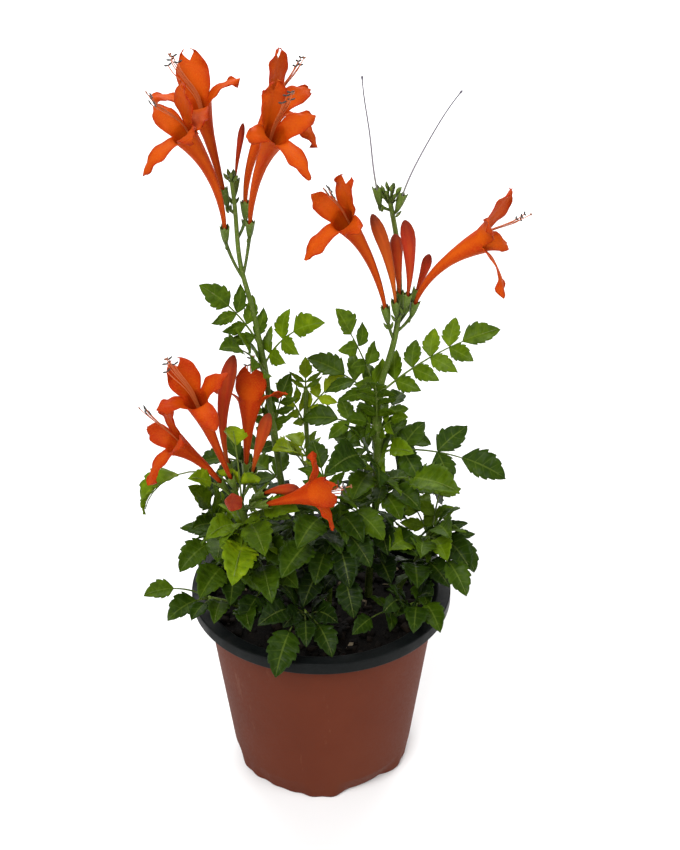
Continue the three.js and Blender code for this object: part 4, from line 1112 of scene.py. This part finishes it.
def petal_paint(name, stops, other_stops, streak):
    """Petals: colour runs down their length, with fine streaks along it; tone picks a shade
    between the two ramps."""
    paint = Paint(name, 0.55, Specular_IOR_Level=0.05)
    along, across = paint.value("along"), paint.value("across")
    _, length_and_side = paint.node("CombineXYZ", along, paint.times(across, 9.0))
    lines = paint.noise(60, 3, at=length_and_side)
    share = paint.varied(along, paint.noise(110, 2), 0.18)
    tone = paint.varied(paint.value("tone"), paint.noise(70, 3), 1.1)
    tone = paint.ramp(tone, [(0.0, 0.0), (1.0, 1.0)])
    colour = paint.mix(tone, paint.ramp(share, stops), paint.ramp(share, other_stops))
    streaks = paint.ramp(lines, [(0.47, 0.0), (0.68, 0.55)])
    paint.set("Base Color", paint.mix(streaks, colour, linear(streak)))
    paint.bump(paint.plus(lines, paint.times(paint.noise(1400, 2), 0.3)), 0.35, 0.2)
    return paint.material


def strand_paint():
    """Stamens: orange threads with dark anthers"""
    paint = Paint("stamen", 0.55)
    grain = paint.noise(1800, 2)
    part = paint.plus(paint.value("part"), paint.times(grain, 0.1))
    paint.set("Base Color", paint.ramp(part, [(0.0, "b3541c"), (0.3, "a05030"), (0.6, "57452c"),
                                              (1.0, "2a241c")]))
    paint.bump(grain, 0.3, 0.05)
    return paint.material


def thread_paint():
    """Dry grey-violet threads"""
    paint = Paint("dry_thread", 0.7)
    grain = paint.noise(900, 2)
    share = paint.plus(paint.value("along"), paint.times(grain, 0.2))
    paint.set("Base Color", paint.ramp(share, [(0.05, "6f7350"), (0.3, "77727a"), (1.1, "55505c")]))
    paint.bump(grain, 0.3, 0.05)
    return paint.material


def terracotta_paint():
    """Matt plastic coloured like fired clay, with faint mould marks and scuffs"""
    paint = Paint("terracotta_plastic", 0.62, Specular_IOR_Level=0.08)
    cloud, fine = paint.noise(14, 4), paint.noise(700, 3)
    share = paint.plus(paint.times(cloud, 0.75), paint.times(fine, 0.25))
    colour = paint.ramp(share, [(0.3, "522414"), (0.5, "592817"), (0.72, "5f2e1c")])
    scuff = paint.noise(90, 5, 0.7, at=paint.position(1, 1, 0.25))
    marks = paint.ramp(scuff, [(0.62, 0.0), (0.74, 0.35)])
    paint.set("Base Color", paint.mix(marks, colour, linear("7d5645")))
    paint.set("Roughness", paint.ramp(fine, [(0.3, 0.55), (0.7, 0.7)]))
    paint.bump(paint.plus(fine, paint.times(cloud, 2.0)), 0.25, 0.15)
    return paint.material


def black_paint():
    """The pot's black inner layer and rim, dusty with peat"""
    paint = Paint("black_plastic", 0.5, Specular_IOR_Level=0.08)
    fine, dust = paint.noise(900, 3), paint.noise(60, 5, 0.7)
    colour = paint.ramp(fine, [(0.3, "090b0b"), (0.7, "101313")])
    dusty = paint.ramp(dust, [(0.55, 0.0), (0.75, 0.5)])
    paint.set("Base Color", paint.mix(dusty, colour, linear("22201d")))
    paint.set("Roughness", paint.ramp(dust, [(0.4, 0.38), (0.7, 0.7)]))
    paint.bump(fine, 0.2, 0.1)
    return paint.material


def soil_paint():
    """Dark, damp peat with paler crumbs"""
    paint = Paint("peat", 0.9, Specular_IOR_Level=0.08)
    crumbs, fine = paint.noise(260, 6, 0.75), paint.noise(1300, 3)
    share = paint.plus(paint.times(crumbs, 0.7), paint.times(fine, 0.3))
    paint.set("Base Color", paint.ramp(share, [(0.35, "050403"), (0.52, "0d0a08"), (0.62, "17120d"),
                                               (0.75, "2d241a")]))
    paint.bump(share, 1.0, 1.2)
    return paint.material


def chip_paint():
    """Bits of bark, some of them pale"""
    paint = Paint("bark_chip", 0.85, Specular_IOR_Level=0.1)
    grain = paint.noise(600, 4, at=paint.position(1, 0.3, 1))
    share = paint.varied(paint.value("tone"), grain, 0.3)
    paint.set("Base Color", paint.ramp(share, [(0.0, "0a0806"), (0.3, "18120d"), (0.5, "2a2017"),
                                               (0.9, "7a6d58")]))
    paint.bump(grain, 0.8, 0.3)
    return paint.material


LEAF, STEM = leaf_paint(), stem_paint()
PETALS = petal_paint(
    "petal", [(0.0, "7c1c08"), (0.2, "901e04"), (0.5, "9c2203"), (0.7, "a02002"), (1.0, "921902")],
    [(0.0, "943409"), (0.2, "b04008"), (0.5, "bc4a05"), (0.7, "c24e03"), (1.0, "ba4403")], "c46c16")
BUD_SKIN = petal_paint(
    "bud_skin", [(0.0, "742a12"), (0.3, "9a2a10"), (0.7, "9c2614"), (1.0, "641a12")],
    [(0.0, "8a4a1a"), (0.3, "ac4e12"), (0.7, "a84614"), (0.9, "8e3814"), (1.0, "5a2418")], "9c471c")
STRAND, THREAD = strand_paint(), thread_paint()
TERRACOTTA, BLACK, PEAT, CHIP = terracotta_paint(), black_paint(), soil_paint(), chip_paint()

# ---- Assembly ------------------------------------------------------------------------------

BLOOM_TONE, LOW_TONE = 0.05, -0.35      # the low flowers are redder
# painted shade on the leaves near the soil: how much darker, the tip height where it starts, and
# how far down it deepens
SHADE, SHADE_TOP, SHADE_DEPTH = 0.42, 165, 60
# painted shade: the inner leaves, deep inside the plant, are painted this much darker
INNER_SHADE = 0.15
BLADE = 0.3                         # thickness of a leaf


def shaded(row):
    """Painted shade: how much darker the leaves near the soil are painted, from the height of a
    leaf's tip
    """
    return SHADE * float(smooth((SHADE_TOP - row[3]) / SHADE_DEPTH))


pot = Shape()
add_pot(pot)
cut_drains(pot.build("pot_shell", [TERRACOTTA, BLACK], "pot", "pot"))

soil = Shape()
add_soil(soil)
soil.build("soil_fill", [PEAT], "soil", "soil")
chips = Shape()
add_chips(chips)
chips.build("soil_chips", [CHIP], "soil", "soil")

index = 0
for name, shoot in SHOOTS.items():
    blades, stalks = Shape(), Shape()
    for row in shoot["leaves"]:
        leaf = make_leaf(place_on(shoot, row[0]), row, index)
        add_leaf(blades, stalks, leaf, shoot["tone"] - shaded(row))
        index += 1
    for number, (*row, leaflet) in enumerate(shoot.get("inner", [])):
        row = [*row, INNER_DROOP, INNER_PAIRS, leaflet]
        leaf = make_leaf(place_on(shoot, row[0]), row, 1000 + 10 * index + number)
        add_leaf(blades, stalks, leaf, shoot["tone"] - INNER_SHADE - shaded(row))
    add_stem(stalks, shoot)
    for flower in [*FLOWERS.values(), *BUDS.values(), *THREADS.values()]:
        if flower["on"] == name:
            add_calyx(stalks, shoot, flower)
    if name in TOP_BUDS:
        add_top_buds(stalks, **TOP_BUDS[name])
    node = f"shoot_{name}"
    blades.build(f"leaves_{name}", [LEAF], node, shoot["slot"], thickness=BLADE)
    stalks.build(f"stems_{name}", [STEM], node, shoot["slot"])

for number, (name, flower) in enumerate(FLOWERS.items()):
    petals, strands = Shape(), Shape()
    tone = LOW_TONE if "low" in name else BLOOM_TONE
    add_bloom(petals, flower, tone, FLOWER_SEED + number)
    petals.build(f"petals_{name[6:]}", [PETALS], name, "petal", thickness=PETAL)
    add_stamens(strands, flower, FLOWER_SEED + number)
    strands.build(f"stamens_{name[6:]}", [STRAND], name, "petal")
for name, flower in BUDS.items():
    skin = Shape()
    add_bud(skin, flower)
    skin.build(f"{name}_skin", [BUD_SKIN], name, "bud")
for name, flower in THREADS.items():
    style = Shape()
    add_thread(style, flower)
    style.build(f"{name}_style", [THREAD], name, "thread")

# ---- Camera, light and floor ---------------------------------------------------------------

CAMERA_PLACE, CAMERA_TILT = (0.0094, -0.5536, 0.4969), math.radians(61.2)
SENSOR = 36
PHOTO_HEIGHT, FOCAL_LENGTH = 850, 1340      # in the photo's pixels
FLOOR_REACH = 5000
SKY_STRENGTH = 0.34
LAMPS = {                           # place, what it points at, size in metres, watts
    "key": ((-0.5, -1.1, 1.4), (0, 0, 0.2), 0.9, 31),
    "fill": ((1.1, -0.7, 0.9), (0, 0, 0.2), 0.9, 9),
    "backdrop": ((0, 2.0, 1.8), (0, 1.6, 0), 2.4, 85),
}

scene = bpy.context.scene
scene.view_settings.view_transform = "Standard"

camera = add_object("camera", bpy.data.cameras.new("camera"))
camera.location = CAMERA_PLACE
camera.rotation_euler = (CAMERA_TILT, 0, 0)
camera.data.sensor_width = SENSOR
camera.data.lens = SENSOR * FOCAL_LENGTH / PHOTO_HEIGHT
camera.data.clip_start = 0.01
scene.camera = camera

corners = [(-1, -1, 0), (1, -1, 0), (1, 1, 0), (-1, 1, 0)]
floor = add_mesh("floor", np.array(corners) * FLOOR_REACH, [(0, 1, 2, 3)])
floor_paint = Paint("floor", 0.9)
floor_paint.set("Base Color", floor_paint.ramp(floor_paint.noise(3, 2), [(0.3, 0.86), (0.7, 0.88)]))
floor.data.materials.append(floor_paint.material)

world = bpy.data.worlds.new("studio")
world.use_nodes = True
background = world.node_tree.nodes["Background"]
background.inputs["Color"].default_value = (1, 1, 1, 1)
background.inputs["Strength"].default_value = SKY_STRENGTH
scene.world = world

for name, (place, target, size, power) in LAMPS.items():
    lamp = add_object(name, bpy.data.lights.new(name, "AREA"))
    lamp.data.size, lamp.data.energy = size, power
    lamp.location = place
    lamp.rotation_euler = (Vector(target) - Vector(place)).to_track_quat("-Z", "Y").to_euler()
